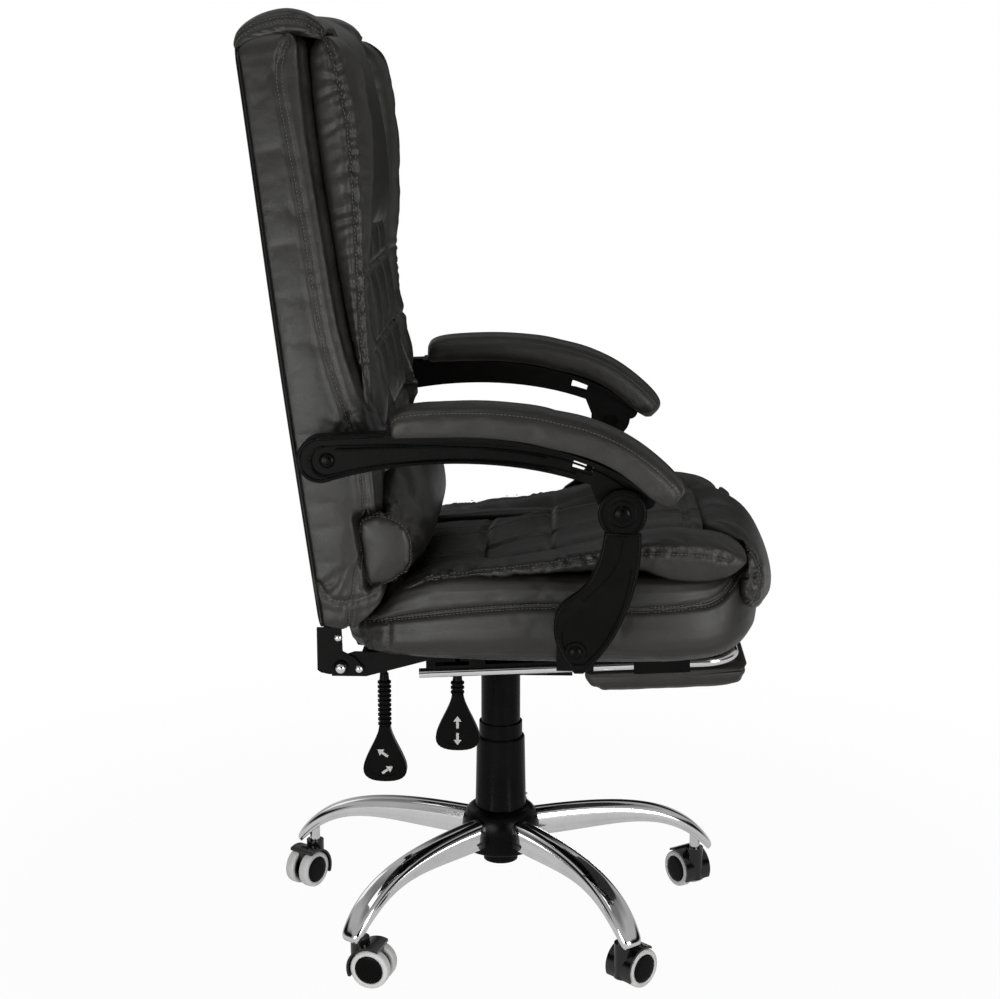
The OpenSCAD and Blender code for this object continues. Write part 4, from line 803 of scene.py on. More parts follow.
centreSizes = {"low": 62.0, "high": 470.0, "half": 140.0, "rows": (137.0, 228.0, 319.0, 410.0),
               "columns": (-46.0, 46.0), "depth": 22.0, "face": 86.5, "rear": 85.5}


# distance to the nearest of some lines
def nearest(x, lines):
    return np.min([np.abs(x - line) for line in lines], axis=0)


# seams of a quilt along its rows and columns, and the grid places where they cross
def quilting(u, v, rows, columns, rowSewing, columnSewing):
    seams, crossed = [], []
    for way, places, lines, sewing in (("row", u, rows, rowSewing), ("column", v, columns, columnSewing)):
        at = [int(np.argmin(np.abs(places - line))) for line in lines]
        seams += [{**sewing, way: k, "seed": int(line) + sewing["seed"]} for k, line in zip(at, lines)]
        crossed.append(at)
    return seams, [(i, j) for i in crossed[0] for j in crossed[1]]


# quilted centre of the back: full squares between sewn lines, drawn in at each crossing
def makeCentre():
    u = np.linspace(centreSizes["low"], centreSizes["high"], 137)
    v = np.linspace(-centreSizes["half"], centreSizes["half"], 94)
    under = np.linspace(centreSizes["half"], -centreSizes["half"], 22)[1:-1]
    h, y = np.meshgrid(u, v, indexing="ij")
    edge = np.clip(np.minimum(centreSizes["half"] - np.abs(y), np.minimum(h - u[0], u[-1] - h))/26, 0, 1)
    rows, columns = nearest(h, centreSizes["rows"]), nearest(y, centreSizes["columns"])
    sewn = np.maximum(np.exp(-(rows/7)**2), np.exp(-(columns/7)**2))
    cross = np.exp(-(rows**2 + columns**2)/16**2)
    d = centreSizes["face"] + centreSizes["depth"]*np.sqrt(edge*(2 - edge))*(1 - 0.2*sewn - 0.2*cross)
    front = np.stack([d, y, h], -1)
    h2, y2 = np.meshgrid(u, under, indexing="ij")
    rear = np.stack([np.full_like(h2, centreSizes["rear"]), y2, h2], -1)
    grid = np.concatenate([front, rear], axis=1)
    pinned = np.ones(grid.shape[:2], bool)
    pinned[:, :94] = (sewn > 0.8) | (edge < 0.1)
    sewing = {"depth": 0.8, "width": 2.4, "tuckLength": 14, "tuckDepth": 0.8, "stitches": single}
    seams, crossings = quilting(u, v, centreSizes["rows"], centreSizes["columns"],
                                dict(sewing, count=94, tucks=8, seed=0), dict(sewing, tucks=10, seed=500))
    cushion("backCentre", leaned(grid), pinned, seams, "back", ["back_centre_pad"], pressure=1.0, cap=7.0,
            crossings=crossings)


lumbarSizes = {"half": 245.0, "endSeam": 236.0}


# lumbar roll: sections across the width, small at the D-shaped ends and full in the middle
def makeLumbar():
    half = lumbarSizes["half"]
    y = acrossWidth(half, 181, 0.9)
    a = np.abs(y)
    swell = ease((half - 8 - a)/150)
    rear = 66 + 23*ease((232 - a)/12)
    front = 124 + 16*swell
    low, high = 46 - 12*swell, 130 + 54*swell
    middle = (low + high)/2 + 2
    span = high - low
    corners = [(rear, middle), (rear, high - span*0.16), (rear + 7, high - span*0.03),
               (rear*0.6 + front*0.4 + 2, high), (front - 12, high - span*0.12),
               (front - 2, middle + span*0.2), (front, middle - span*0.05), (front - 7, low + span*0.2),
               (rear*0.55 + front*0.45, low + span*0.03), (rear + 8, low), (rear, low + span*0.1)]
    counts = [6, 6, 8, 12, 12, 12, 12, 10, 8, 6, 8]
    grid = loft(corners, y, (0, 2, 1), counts)
    end = rounded(a - lumbarSizes["endSeam"], 9, 9.1, 0.0025)[:, None]
    centre = grid.mean(axis=1, keepdims=True)
    for k in (0, 2):
        grid[..., k] = drawnIn(grid[..., k], centre[..., k], end)
    rowSeam = int(np.argmin(np.abs(y + lumbarSizes["endSeam"])))
    pinned = held(grid, rowSeam + 2, rowSeam + 2, 12, 14)
    seams = [{"row": row, "turn": 4, "count": 92, "depth": 0.6, "tucks": 17, "tuckLength": 64,
              "tuckDepth": 2.4, "seed": 83 + row, "only": inward, "heel": 0.3, "lip": 0.5}
             for row, inward in ((rowSeam + 1, 1), (180 - rowSeam - 1, -1))]
    cushion("lumbarPillow", leaned(grid[::-1]), pinned[::-1], seams, "back", ["lumbar_pillow"],
            pressure=1.0, cap=9.0)


makeBack()
makeShell()
for side in (-1, 1):
    makeWing(side)
makeHeadPillow()
makeCentre()
makeLumbar()


seatSizes = {"front": 306.0, "rear": -183.0, "half": 262.0, "under": 427.0,
             "seam": [(-185, 461), (-169, 465), (-87, 484), (0, 496), (73, 500), (157, 496), (230, 499),
                      (265, 505), (293, 529), (308, 545)],
             "crease": [(-185, 466), (-150, 480), (-130, 500), (-110, 518), (-75, 533), (-27, 538),
                        (103, 538), (200, 536), (270, 536), (308, 548)]}


sinkSizes = {"drop": [(-185, 16), (-80, 24), (60, 26), (160, 24), (340, 20)], "from": -30.0, "over": 200.0,
             "low": 492.0, "rise": 44.0}


# the seat's far half lies lower, as in the photograph: nothing on the near half, the full drop at the
# far side, and fading out down the box's side
def sunk(grid):
    x, y, z = grid[..., 0], grid[..., 1], grid[..., 2]
    drop = along(sinkSizes["drop"], x)*ease((y - sinkSizes["from"])/sinkSizes["over"])
    grid[..., 2] = z - drop*np.clip((z - sinkSizes["low"])/sinkSizes["rise"], 0, 1)
    return grid


# closed plan outline: a rounded rectangle |x|^n + |y|^n = 1 with even spacing; the rear is narrower
def planOutline(front, rear, half, count, power=5.5):
    a = np.linspace(0, 2*math.pi, 2400, endpoint=False)
    c, s = np.cos(a), np.sin(a)
    x = np.sign(c)*np.abs(c)**(2/power)
    y = np.sign(s)*np.abs(s)**(2/power)*(1 - 0.05*ease(-x))
    line = np.stack([(front + rear)/2 + x*(front - rear)/2, y*half, a*0], 1)
    line = np.concatenate([line, line[:1]])
    s = travelled(line)
    at = np.linspace(0, s[-1], count, endpoint=False)
    return np.stack([np.interp(at, s, line[:, k]) for k in range(2)], 1)


# box of the seat: plan outlines stacked by level; the lower panel bulges up to a seam that sweeps
# along the side, the upper one leans in to the crease under the pads
def makeSeatBox():
    levels = [(0.0, 150), (0.0, 90), (0.0, 40), (0.0, 20), (0.02, 11), (0.08, 5), (0.16, 1.5), (0.28, -1),
              (0.45, -2), (0.62, -1), (0.8, 1), (0.92, 2.5), (1.0, 3.5), (1.1, 2.5), (1.25, 2), (1.5, 3),
              (1.75, 7), (1.9, 12), (2.0, 20), (2.02, 34), (2.02, 60), (2.02, 110)]
    share, inset = [np.interp(np.linspace(0, 1, 96), np.linspace(0, 1, len(levels)), values)
                    for values in zip(*levels)]
    grid = np.zeros((96, 520, 3))
    for k in range(96):
        swell = 13*ease(share[k]/0.3)*ease((1.25 - share[k])/0.5)
        xy = planOutline(seatSizes["front"] - inset[k] + swell, seatSizes["rear"] + inset[k],
                         seatSizes["half"] - inset[k], 520)
        seam, crease = along(seatSizes["seam"], xy[:, 0]), along(seatSizes["crease"], xy[:, 0])
        low = seatSizes["under"] + (seam - seatSizes["under"])*min(share[k], 1)
        z = np.where(share[k] > 1, seam + (crease - seam)*min(share[k] - 1, 1.02), low)
        z = z - (22*ease((inset[k] - 16)/20) if share[k] > 1 else 0)
        grid[k] = np.stack([xy[:, 0], xy[:, 1], z], 1)
    pinned = np.ones(grid.shape[:2], bool)
    pinned[16:84] = False
    seamRow = int(np.argmin(np.abs(share - 1.0)))
    pinned[seamRow - 1:seamRow + 2] = True
    seams = [{"row": seamRow, "turn": 0, "count": 520, "depth": 0.6, "width": 4.5, "tucks": 60,
              "tuckLength": 8, "tuckDepth": 0.4, "seed": 91, "heel": 1.0}]
    for side in (-1, 1):
        for x in (-128, 110):
            seams.append({"line": [(x, 432), (x + 2, 470), (x - 2, float(along(seatSizes["seam"], x)) - 4)],
                          "side": side, "depth": 0.7, "tucks": 4, "tuckLength": 12, "tuckDepth": 0.8,
                          "seed": 95 + side, "stitches": single})
        seams.append({"line": [(-150, 440), (-158, 455), (-160, 466)], "side": side, "depth": 0.3, "tucks": 5,
                      "tuckLength": 26, "tuckDepth": 2.2, "seed": 99 + side, "stitches": ()})
    cushion("seatBox", sunk(grid), pinned, seams, "seat", ["seat_cushion"], pressure=0.6, cap=6.0)


quiltSizes = {"rear": -94.0, "front": 250.0, "half": 183.0, "lines": (-104.0, -4.0, 96.0),
              "rows": (-18.0, 66.0, 150.0, 232.0),
              "height": [(-96, 520), (-48, 527), (-6, 537), (35, 549), (77, 559), (118, 567), (170, 576),
                         (220, 583), (252, 585)]}


# quilted top of the seat, rising to the front: squares between sewn lines, drawn in at crossings
def makeQuilt():
    u = np.linspace(quiltSizes["rear"], quiltSizes["front"], 117)
    v = np.linspace(-quiltSizes["half"], quiltSizes["half"], 124)
    under = np.linspace(quiltSizes["half"], -quiltSizes["half"], 24)[1:-1]
    x, y = np.meshgrid(u, v, indexing="ij")
    top = along(quiltSizes["height"], u)[:, None]
    edge = np.clip((quiltSizes["half"] - np.abs(y))/30, 0, 1)
    rows, lines = nearest(x, quiltSizes["rows"]), nearest(y, quiltSizes["lines"])
    sewn = np.maximum(np.exp(-(rows/6)**2), np.exp(-(lines/6)**2))
    cross = np.exp(-(rows**2 + lines**2)/17**2)
    z = top - 10*(1 - np.sqrt(edge*(2 - edge))) - (1.6*sewn + 3.6*cross)
    z = z - 10*(y/quiltSizes["half"])**2*ease((170 - x)/160)
    x2, y2 = np.meshgrid(u, under, indexing="ij")
    floor = np.minimum(top - 22, 541) + 0*x2
    grid = np.concatenate([np.stack([x, y, z], -1), np.stack([x2, y2, floor], -1)], axis=1)
    pinned = np.ones(grid.shape[:2], bool)
    pinned[2:-2, :124] = (sewn[2:-2] > 0.75) | (edge[2:-2] < 0.05)
    sewing = {"depth": 0.7, "width": 2.2, "tucks": 9, "tuckLength": 14, "tuckDepth": 0.8, "stitches": single}
    seams, crossings = quilting(u, v, quiltSizes["rows"], quiltSizes["lines"],
                                dict(sewing, count=124, seed=300), dict(sewing, seed=700))
    cushion("seatQuilt", sunk(grid), pinned, seams, "seat", ["seat_centre_pad"], pressure=0.8, cap=2.6,
            crossings=crossings)


bolsterSizes = {"inner": 184.0,
                "top": [(-112, 520), (-76, 533), (-28, 542), (19, 549), (66, 558), (124, 571), (172, 581),
                        (207, 586), (242, 584), (265, 581), (283, 578), (298, 575)],
                "bottom": [(-112, 508), (-75, 524), (-27, 532), (31, 536), (103, 541), (140, 543), (172, 542),
                           (208, 533), (243, 531), (272, 534), (290, 538), (298, 540)],
                "seam": [(-112, 516), (-76, 530), (-28, 539), (19, 545), (66, 551), (125, 562), (172, 569),
                         (219, 569), (254, 566), (283, 560), (298, 557)]}


# side bolster of the seat: sections along x, flat at the rear and full at the rounded nose
def makeBolster(side):
    x = np.linspace(-110, 297, 150)
    top, low, seam = [along(bolsterSizes[k], x) for k in ("top", "bottom", "seam")]
    full = ease((x - 40)/150)
    out = 262*(1 - 0.05*ease(-(x - 61)/245)) + 1 + 4*full
    base = np.minimum(low + 6, 543)
    inner = bolsterSizes["inner"]
    corners = [(inner + 1, base), (inner, top - 26), (inner + 9, top - 12), (inner + 36, top),
               (out - 22, top - 3 - 2*full), (out - 8, seam*0.35 + top*0.65 - 2), (out - 2, seam),
               (out - 1, seam*0.5 + low*0.5), (out - 8, low + 2), (out - 24, low + 1), (out - 44, base)]
    counts = [5, 5, 8, 12, 8, 6, 6, 6, 6, 6, 10]
    grid = loft(corners, x, (2, 0, 1), counts)
    nose = rounded(x - 262, 36, 36.4)[:, None]
    tail = rounded(-92 - x, 18, 19, 0.05)[:, None]
    pivot = np.where(x > 0, 242, 226)[:, None]
    grid[..., 1] = drawnIn(grid[..., 1], pivot, (0.4 + 0.6*nose)*tail)
    grid[..., 2] = drawnIn(grid[..., 2], ((top + low)/2)[:, None], nose*tail)
    seamColumn = sum(counts[:6])
    pinned = held(grid, 3, 2, 6, 12)
    pinned[:, seamColumn - 1:seamColumn + 2] = True
    grid, pinned, (seamColumn,) = sided(side, grid, pinned, [seamColumn])
    seams = [{"column": seamColumn, "first": 12, "last": 142, "depth": 0.9, "width": 4.5, "tucks": 34,
              "tuckLength": 17, "tuckDepth": 1.8, "seed": 111 + side, "heel": 0.8}]
    name = "bolsterRight" if side < 0 else "bolsterLeft"
    cushion(name, sunk(grid), pinned, seams, "seat", ["seat_bolsters"], pressure=1.0, cap=9.0)


rollSizes = {"half": 236.0, "middle": (304.0, 528.0)}


# front roll: sections across the width that curl from the seat's top over and down the front
def makeRoll():
    half = rollSizes["half"]
    y = acrossWidth(half, 171, 0.92)
    a = np.abs(y)
    middle = [(318, 462), (326, 454), (334, 456), (339, 465), (342, 480), (340, 503), (332, 527), (318, 554),
              (299, 573), (276, 582), (258, 580), (251, 569), (253, 549), (275, 546), (300, 545), (313, 530),
              (320, 490)]
    tip = [(296, 505), (302, 497), (308, 495), (312, 503), (315, 514), (317, 525), (317, 536), (313, 550),
           (307, 561), (303, 565), (301, 564), (300, 561), (300, 554), (300, 550), (300, 546), (296, 537),
           (293, 520)]
    corners = []
    for (px, pz), (qx, qz) in zip(middle, tip):
        share = ease((a - 156)/28) if px < 305 and pz > 540 else np.clip(a/228, 0, 1)**2.6
        corners.append((px + (qx - px)*share, pz + (qz - pz)*share))
    counts = [5, 5, 9, 10, 10, 9, 11, 10, 9, 8, 6, 6, 8, 8, 6, 12, 12]
    grid = loft(corners, y, (0, 2, 1), counts)
    end = rounded(a - 222, 14, 14.4)[:, None]
    grid[..., 0] = drawnIn(grid[..., 0], rollSizes["middle"][0], 0.14 + 0.86*end)
    grid[..., 2] = drawnIn(grid[..., 2], rollSizes["middle"][1], 0.3 + 0.7*end)
    pinned = held(grid, 3, 3, 6, 54)
    seams = [{"row": row, "turn": 4, "count": 92, "depth": 0.8, "width": 4.5, "tucks": 13,
              "tuckLength": 34, "tuckDepth": 2.0, "seed": 121 + row, "heel": 0.3} for row in (10, 160)]
    cushion("frontRoll", sunk(grid)[::-1], pinned[::-1], seams, "seat", ["seat_front_roll"], pressure=1.0,
            cap=7.0)


makeSeatBox()
makeQuilt()
for side in (-1, 1):
    makeBolster(side)
makeRoll()


armPadSizes = {"centre": 299.7, "half": 30.0,
               "low": [(-112, 713), (-108, 711.5), (-98, 712), (-60, 713), (-12, 713), (36, 708), (68, 701),
                       (98, 694), (124, 685), (146, 673), (164, 659), (179, 646), (190, 638), (197, 634)],
               "top": [(-114, 725), (-111, 738), (-95, 745.5), (-60, 749), (-8, 750), (44, 746), (79, 739),
                       (114, 730), (149, 715), (177, 697), (202, 676), (216, 660), (219, 648), (208, 634)],
               "wide": [0.80, 0.92, 0.98, 1, 1, 1, 1, 1, 1, 1, 1, 0.98, 0.88, 0.66]}


# armrest pad: sections across, between a lower and an upper line of the side view
def makeArmPad(side):
    rows = 141
    low, top = smoothLine(armPadSizes["low"], rows), smoothLine(armPadSizes["top"], rows)
    wide = np.interp(np.linspace(0, 1, rows), np.linspace(0, 1, 14), armPadSizes["wide"])
    shape, counts = mirrored([(0, 0.01), (0.82, 0.0), (0.99, 0.10), (1.03, 0.34), (0.99, 0.62), (0.86, 0.84),
                              (0.5, 0.97), (0, 1.0)], [10, 4, 6, 6, 6, 6, 8], 0)
    controls = np.stack([np.stack([low[:, 0] + (top[:, 0] - low[:, 0])*up,
                                   armPadSizes["centre"] + armPadSizes["half"]*out*wide,
                                   low[:, 1] + (top[:, 1] - low[:, 1])*up], 1) for out, up in shape], 1)
    grid = sections(controls, counts)
    pinned = held(grid, 3, 3, 14, 10)
    columns = [sum(counts[:4]) + 4, sum(counts[:9]) + 2]
    pinned[:, columns] = True
    grid, pinned, columns = sided(side, grid, pinned, columns)
    seams = [{"column": c, "first": 5, "last": 137, "depth": 0.35, "width": 2.4, "tucks": 8, "tuckLength": 8,
              "tuckDepth": 0.3, "lip": 0.4, "seed": 131 + c, "stitches": single} for c in columns]
    name = "left" if side > 0 else "right"
    cushion("armPad" + name.title(), grid, pinned, seams, "arm_" + name, ["arm_pad_" + name], pressure=0.4,
            cap=2.0)


for side in (-1, 1):
    makeArmPad(side)


footPadSizes = {"axis": (293.0, 417.2), "slope": 3.0, "half": 160.0, "middle": (-85.0, -30.0)}


# footrest pad: a flat box cushion, its sections across the width; seams along both long edges
def makeFootPad():
    half = footPadSizes["half"]
    y = acrossWidth(half, 121, 0.93)
    line = [(-90, -18), (-178, -18), (-184, -24), (-183, -33), (-172, -43), (-150, -47.5), (-86, -48.5),
            (-20, -47.5), (4, -43), (13, -34), (13, -24), (8, -18)]
    counts = [28, 4, 5, 6, 8, 20, 20, 8, 6, 5, 5, 28]
    grid = loft(line, y, (0, 2, 1), counts)
    end = rounded(np.abs(y) - 146, 14, 14.5)[:, None]
    grid[..., 0] = drawnIn(grid[..., 0], footPadSizes["middle"][0], 0.9 + 0.1*end)
    grid[..., 2] = drawnIn(grid[..., 2], footPadSizes["middle"][1], 0.35 + 0.65*end)
    a = math.radians(footPadSizes["slope"])
    x, z = grid[..., 0].copy(), grid[..., 2].copy()
    grid[..., 0] = footPadSizes["axis"][0] + x*math.cos(a) - z*math.sin(a)
    grid[..., 2] = footPadSizes["axis"][1] + x*math.sin(a) + z*math.cos(a)
    pinned = held(grid, 3, 3, 36, 34)
    seams = [{"column": c, "first": 6, "last": 115, "depth": 0.5, "tucks": 10, "tuckLength": 10,
              "tuckDepth": 0.2, "seed": 141 + c, "stitches": single} for c in (44, 104)]
    cushion("footPad", grid[::-1], pinned[::-1], seams, "footrest_pad", ["footrest_cushion"], pressure=0.2,
            cap=1.2)


makeFootPad()


baseSizes = {"stem": 280.0, "turn": 17.0, "legTop": [(32, 142), (170, 148), (262, 138), (303, 66.4)],
             "legUnder": [(32, 107), (160, 106), (228, 138), (297, 57.4)], "root": 30.0, "tip": 35.0,
             "hub": 40.0, "hubLevels": (100.0, 145.0)}


# points turned about the upright axis
def turnedTo(grid, a):
    x, y = grid[..., 0], grid[..., 1]
    return np.stack([x*math.cos(a) - y*math.sin(a), x*math.sin(a) + y*math.cos(a), grid[..., 2]], -1)


# point at t on a cubic Bezier line
def bezier(p, t):
    p, s, t = np.asarray(p, float), 1 - t[:, None], t[:, None]
    return s**3*p[0] + 3*s*s*t*p[1] + 3*s*t*t*p[2] + t**3*p[3]


# several grids as one piece; each is a row of closed rings, capped at both ends unless it meets itself
def joined(name, grids, paint):
    points, faces = np.zeros((0, 3)), []
    for grid in grids:
        looped = np.allclose(grid[0], grid[-1], atol=1e-4)
        grid = grid[:-1] if looped else grid
        rows, cols, _ = grid.shape
        first = len(points)
        i, j = [v.ravel() for v in np.meshgrid(np.arange(rows if looped else rows - 1), np.arange(cols),
                                               indexing="ij")]
        i2, j2 = (i + 1) % rows, (j + 1) % cols
        made = (first + np.stack([i*cols + j, i*cols + j2, i2*cols + j2, i2*cols + j], -1)).tolist()
        if not looped:
            made += [list(range(first + cols - 1, first - 1, -1)),
                     list(range(first + (rows - 1)*cols, first + rows*cols))]
        k = rows//2
        a, b, c = [grid[k, m] for m in (0, cols//4, cols//2)]
        ahead = grid[min(k + 1, rows - 1)].mean(0) - grid[k - 1].mean(0)
        turned = np.dot(np.cross(b - a, c - b), ahead) > 0
        faces += made if turned else [f[::-1] for f in made]
        points = np.concatenate([points, grid.reshape(-1, 3)])
    return makeMesh(name, points, faces, paint)


# base: a leg is a pressed section with a folded edge along its sides, swept between two curves; five
# of them stand round a disc
def makeBase():
    t = np.concatenate([np.linspace(0, 0.93, 44), np.linspace(0.945, 1, 9)])
    top, under = bezier(baseSizes["legTop"], t), bezier(baseSizes["legUnder"], t)
    wide = baseSizes["root"] + (baseSizes["tip"] - baseSizes["root"])*ease(t*1.2 - 0.2)
    wide = wide*(1 - 0.25*t**12)/2
    shape, counts = mirrored([(0, 0), (0.8, 0), (0.93, 0.03), (0.94, 0.24), (1.0, 0.28), (1.0, 0.42),
                              (0.95, 0.66), (0.76, 0.88), (0.4, 0.985), (0, 1)],
                             [3, 3, 3, 2, 3, 4, 5, 5, 5], 0)
    controls = np.stack([np.stack([under[:, 0] + (top[:, 0] - under[:, 0])*up, wide*out,
                                   under[:, 1] + (top[:, 1] - under[:, 1])*up], 1) for out, up in shape], 1)
    leg = sections(controls, counts)
    close = rounded(t - 0.97, 0.03, 0.031, 0.05)[:, None, None]
    leg = drawnIn(leg, leg.mean(axis=1, keepdims=True), 0.72 + 0.28*close)
    grids = [turnedTo(leg, math.radians(baseSizes["turn"] + 72*k)) for k in range(5)]
    r, a = baseSizes["hub"], np.arange(40)*2*math.pi/40
    grids.append(np.stack([np.stack([r*np.cos(a), r*np.sin(a), np.full(40, z)], 1)
                           for z in baseSizes["hubLevels"]]))
    piece = joined("baseLegs", grids, chrome)
    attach(piece, "base")
    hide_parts("base_frame")


wheelSizes = {"trail": 18.0, "turns": (125, 80, 236, -15, 45), "gap": 5.0, "high": 25.0,
              "tread": [(18.3, 0.6), (23, 0), (24.5, 1.2), (25, 3.2), (25, 10.8), (24.5, 12.8), (23, 14),
                        (20.6, 14.4), (18.6, 14.0), (18.3, 12)],
              "disc": [(0.1, 0.4), (14, 0.2), (18, 0.8), (18.1, 13.2), (17.6, 14.2), (16.4, 14.6), (11, 14.9),
                       (5, 15), (0.1, 15)]}


# ring swept round the y axis: the closed profile (radius, y) repeated at even angles
def revolved(profile, count=56):
    a = np.arange(count + 1)*2*math.pi/count
    p = np.asarray(profile, float)
    return np.stack([np.outer(np.cos(a), p[:, 0]), np.tile(p[:, 1], (count + 1, 1)),
                     np.outer(np.sin(a), p[:, 0])], -1)


# turned solid round the y axis, as rows from one end of the axis to the other
def turnedSolid(profile, count=56):
    a = np.arange(count)*2*math.pi/count
    p = np.asarray(profile, float)
    return np.stack([np.outer(p[:, 0], np.cos(a)), np.tile(p[:, 1:], (1, count)),
                     np.outer(p[:, 0], np.sin(a))], -1)


# each caster's two wheels: a tread ring and a disc on both sides of the hood, and their axle
def makeWheels():
    for k in range(5):
        leg = math.radians(baseSizes["turn"] + 72*k)
        turn = math.radians(wheelSizes["turns"][k])
        centre = np.array([baseSizes["stem"]*math.cos(leg) + wheelSizes["trail"]*math.cos(turn),
                           baseSizes["stem"]*math.sin(leg) + wheelSizes["trail"]*math.sin(turn),
                           wheelSizes["high"]])
        treads, discs = [[make([(r, s*(w + wheelSizes["gap"])) for r, w in wheelSizes[key]]) for s in (-1, 1)]
                         for make, key in ((revolved, "tread"), (turnedSolid, "disc"))]
        discs.append(turnedSolid([(0.1, -8), (3, -7.9), (3, 7.9), (0.1, 8)], 20))
        ring = joined("tread%d" % (k + 1), [turnedTo(g, turn) + centre for g in treads], tread)
        disc = joined("wheelDisc%d" % (k + 1), [turnedTo(g, turn) + centre for g in discs], smoothPlastic)
        for piece, slot in ((ring, "wheel"), (disc, "black_plastic")):
            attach(piece, "wheels_%d" % (k + 1))
        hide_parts("caster_wheels_%d" % (k + 1))


hubSizes = {"inner": 23.3, "outer": 52.0, "low": 96.0, "high": 152.0, "foot": 35.2}


# cover over the hub: a plain turned dome that the legs come out of
def makeHubCover():
    s = hubSizes
    curve = bezier([(s["outer"], s["high"] - 33), (s["outer"], s["high"] - 10), (s["outer"] - 8, s["high"]),
                    (s["foot"], s["high"])], np.linspace(0, 1, 12))
    profile = [(s["inner"], s["low"]), (s["outer"] - 1, s["low"]), (s["outer"], s["low"] + 1)]
    profile += curve.tolist() + [(s["inner"], s["high"]), (s["inner"], s["low"])]
    grid = revolved(profile, 72)
    piece = joined("hubDome", [grid[..., [0, 2, 1]]], smoothPlastic)
    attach(piece, "base")
    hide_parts("hub_cover")


makeBase()
makeHubCover()
makeWheels()
print("base and wheels are made")


armSizes = {"rear": (-188.0, 683.0), "upper": (149.0, 626.0), "lower": (97.0, 462.0), "face": 311.7,
            "supportFace": 324.0}


# half width of the arm's band along its centre line, a cubic from the rear lobe to the front
def armHalf(t):
    return 27*(1 - t)**3 + 39*t*(1 - t)**2 + 54*t*t*(1 - t) + 11*t**3


# edges of a band: its centre curve moved both ways along its own normal
def bandEdges(points, half, last):
    t = np.linspace(0, last, 60)
    line = bezier(points, t)
    slope = np.gradient(line, axis=0)
    across = np.stack([-slope[:, 1], slope[:, 0]], 1)/np.linalg.norm(slope, axis=1)[:, None]
    return line + across*half(t)[:, None], line - across*half(t)[:, None]


# arc about the origin between two angles
def arc(radius, start, stop, count):
    a = np.linspace(math.radians(start), math.radians(stop), count)
    return radius*np.stack([np.cos(a), np.sin(a)], 1)


# round bead that runs along a line of the side view, half sunk in the face at y
def bead(line, y, radius):
    line = np.asarray(line, float)
    slope = np.gradient(line, axis=0)
    if np.allclose(line[0], line[-1]):
        slope[0] = slope[-1] = line[1] - line[-2]
    slope = unit(slope)
    a = np.arange(8)*2*math.pi/8
    x = line[:, :1] - slope[:, 1:]*np.cos(a)*radius
    z = line[:, 1:] + slope[:, :1]*np.cos(a)*radius
    return np.stack([x, np.full_like(x, y) + np.sin(a)*radius, z], -1)


# moulded rims of the armrest frames and of their supports
def makeRims(side):
    rear, upper, lower = [np.array(armSizes[k]) for k in ("rear", "upper", "lower")]
    arm = [rear + (-8, 1), rear + (98, 21), upper + (-79, 86), upper + (27, 14)]
    recess = [arm[0] + (6, -2), arm[1] - (10, 9), arm[2] - (50, 13), upper + (-53, 47)]
    high, low = bandEdges(arm, lambda t: armHalf(t) - 2.6, 0.97)
    lobe = arm[0] + arc(24.2, 92, 268, 24)
    outer = np.concatenate([high[::-1], lobe, low[:44]])
    insideHigh, insideLow = bandEdges(recess, lambda t: armHalf(t*0.75) - 9.4, 0.86)
    insideLobe = recess[0] + arc(17.6, 95, 265, 20)
    inner = np.concatenate([insideHigh[::-1], insideLobe, insideLow])
    ridge = bezier([rear + (10, 13), rear + (126, 16), upper + (-62, 92), upper + (24, 12)],
                   np.linspace(0, 1, 60))
    front = bezier([upper + (20, -24), upper + (22.6, -78), lower + (52.4, 14), lower + (8.6, -22.4)],
                   np.linspace(0, 1, 40))
    back = bezier([lower + (0, -22.4), lower + (-28.4, 8), lower + (-32.4, 50), lower + (-3, 63.6)],
                  np.linspace(0, 1, 30))
    neck = bezier([lower + (-3, 63.6), lower + (21, 78), upper + (-20.6, -52), upper + (-18, -23)],
                  np.linspace(0.03, 1, 24))
    face, outside = armSizes["face"], armSizes["supportFace"]
    armRims = [bead(outer, face - 0.3, 2.1), bead(inner, face - 0.1, 1.3), bead(ridge, face - 0.2, 1.3)]
    supportRims = [bead(np.concatenate([front, back, neck, front[:1]]), outside - 0.5, 1.5)]
    supportRims.append(bead(upper + arc(26, 0, 360, 41), outside - 0.5, 1.5))
    supportRims.append(bead(upper + arc(15.5, 0, 360, 41), outside - 0.2, 1.0))
    name = "Left" if side > 0 else "Right"
    for label, grids, body in (("armRims", armRims, "arm_"), ("supportRims", supportRims, "support_")):
        for grid in grids:
            grid[..., 1] *= side
        piece = joined(label + name, grids, smoothPlastic)
        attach(piece, body + name.lower())


# domed head of a bolt: a quarter circle turned about y, with a short skirt sunk in the plate
def dome(centre, radius, height, side, sunk):
    t = np.linspace(0, 1, 9)[:, None]*math.pi/2
    profile = np.concatenate([[[radius, -sunk]], np.concatenate([radius*np.cos(t), height*np.sin(t)], 1)[:-1],
                              [[radius*0.03, height]]])
    grid = turnedSolid([(radius*0.03, -sunk)] + profile.tolist(), 28)
    grid[..., 1] *= side
    return grid + np.array(centre)


# three bright heads on each hinge plate, as x, y, z and radius
headSizes = {"places": [(-165, 216.3, 407, 5.2), (-190, 216.3, 446, 5.2), (-187, 222.2, 409, 6.4)],
             "height": 4.2, "sunk": 0.8}


# the heads on both sides as one piece
def makeHardware():
    heads = [dome((x, side*y, z), r, headSizes["height"], side, headSizes["sunk"])
             for side in (-1, 1) for x, y, z, r in headSizes["places"]]
    piece = joined("hingeHeads", heads, chrome)
    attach(piece, "back")


for side in (-1, 1):
    makeRims(side)
makeHardware()
print("rims and heads are made")


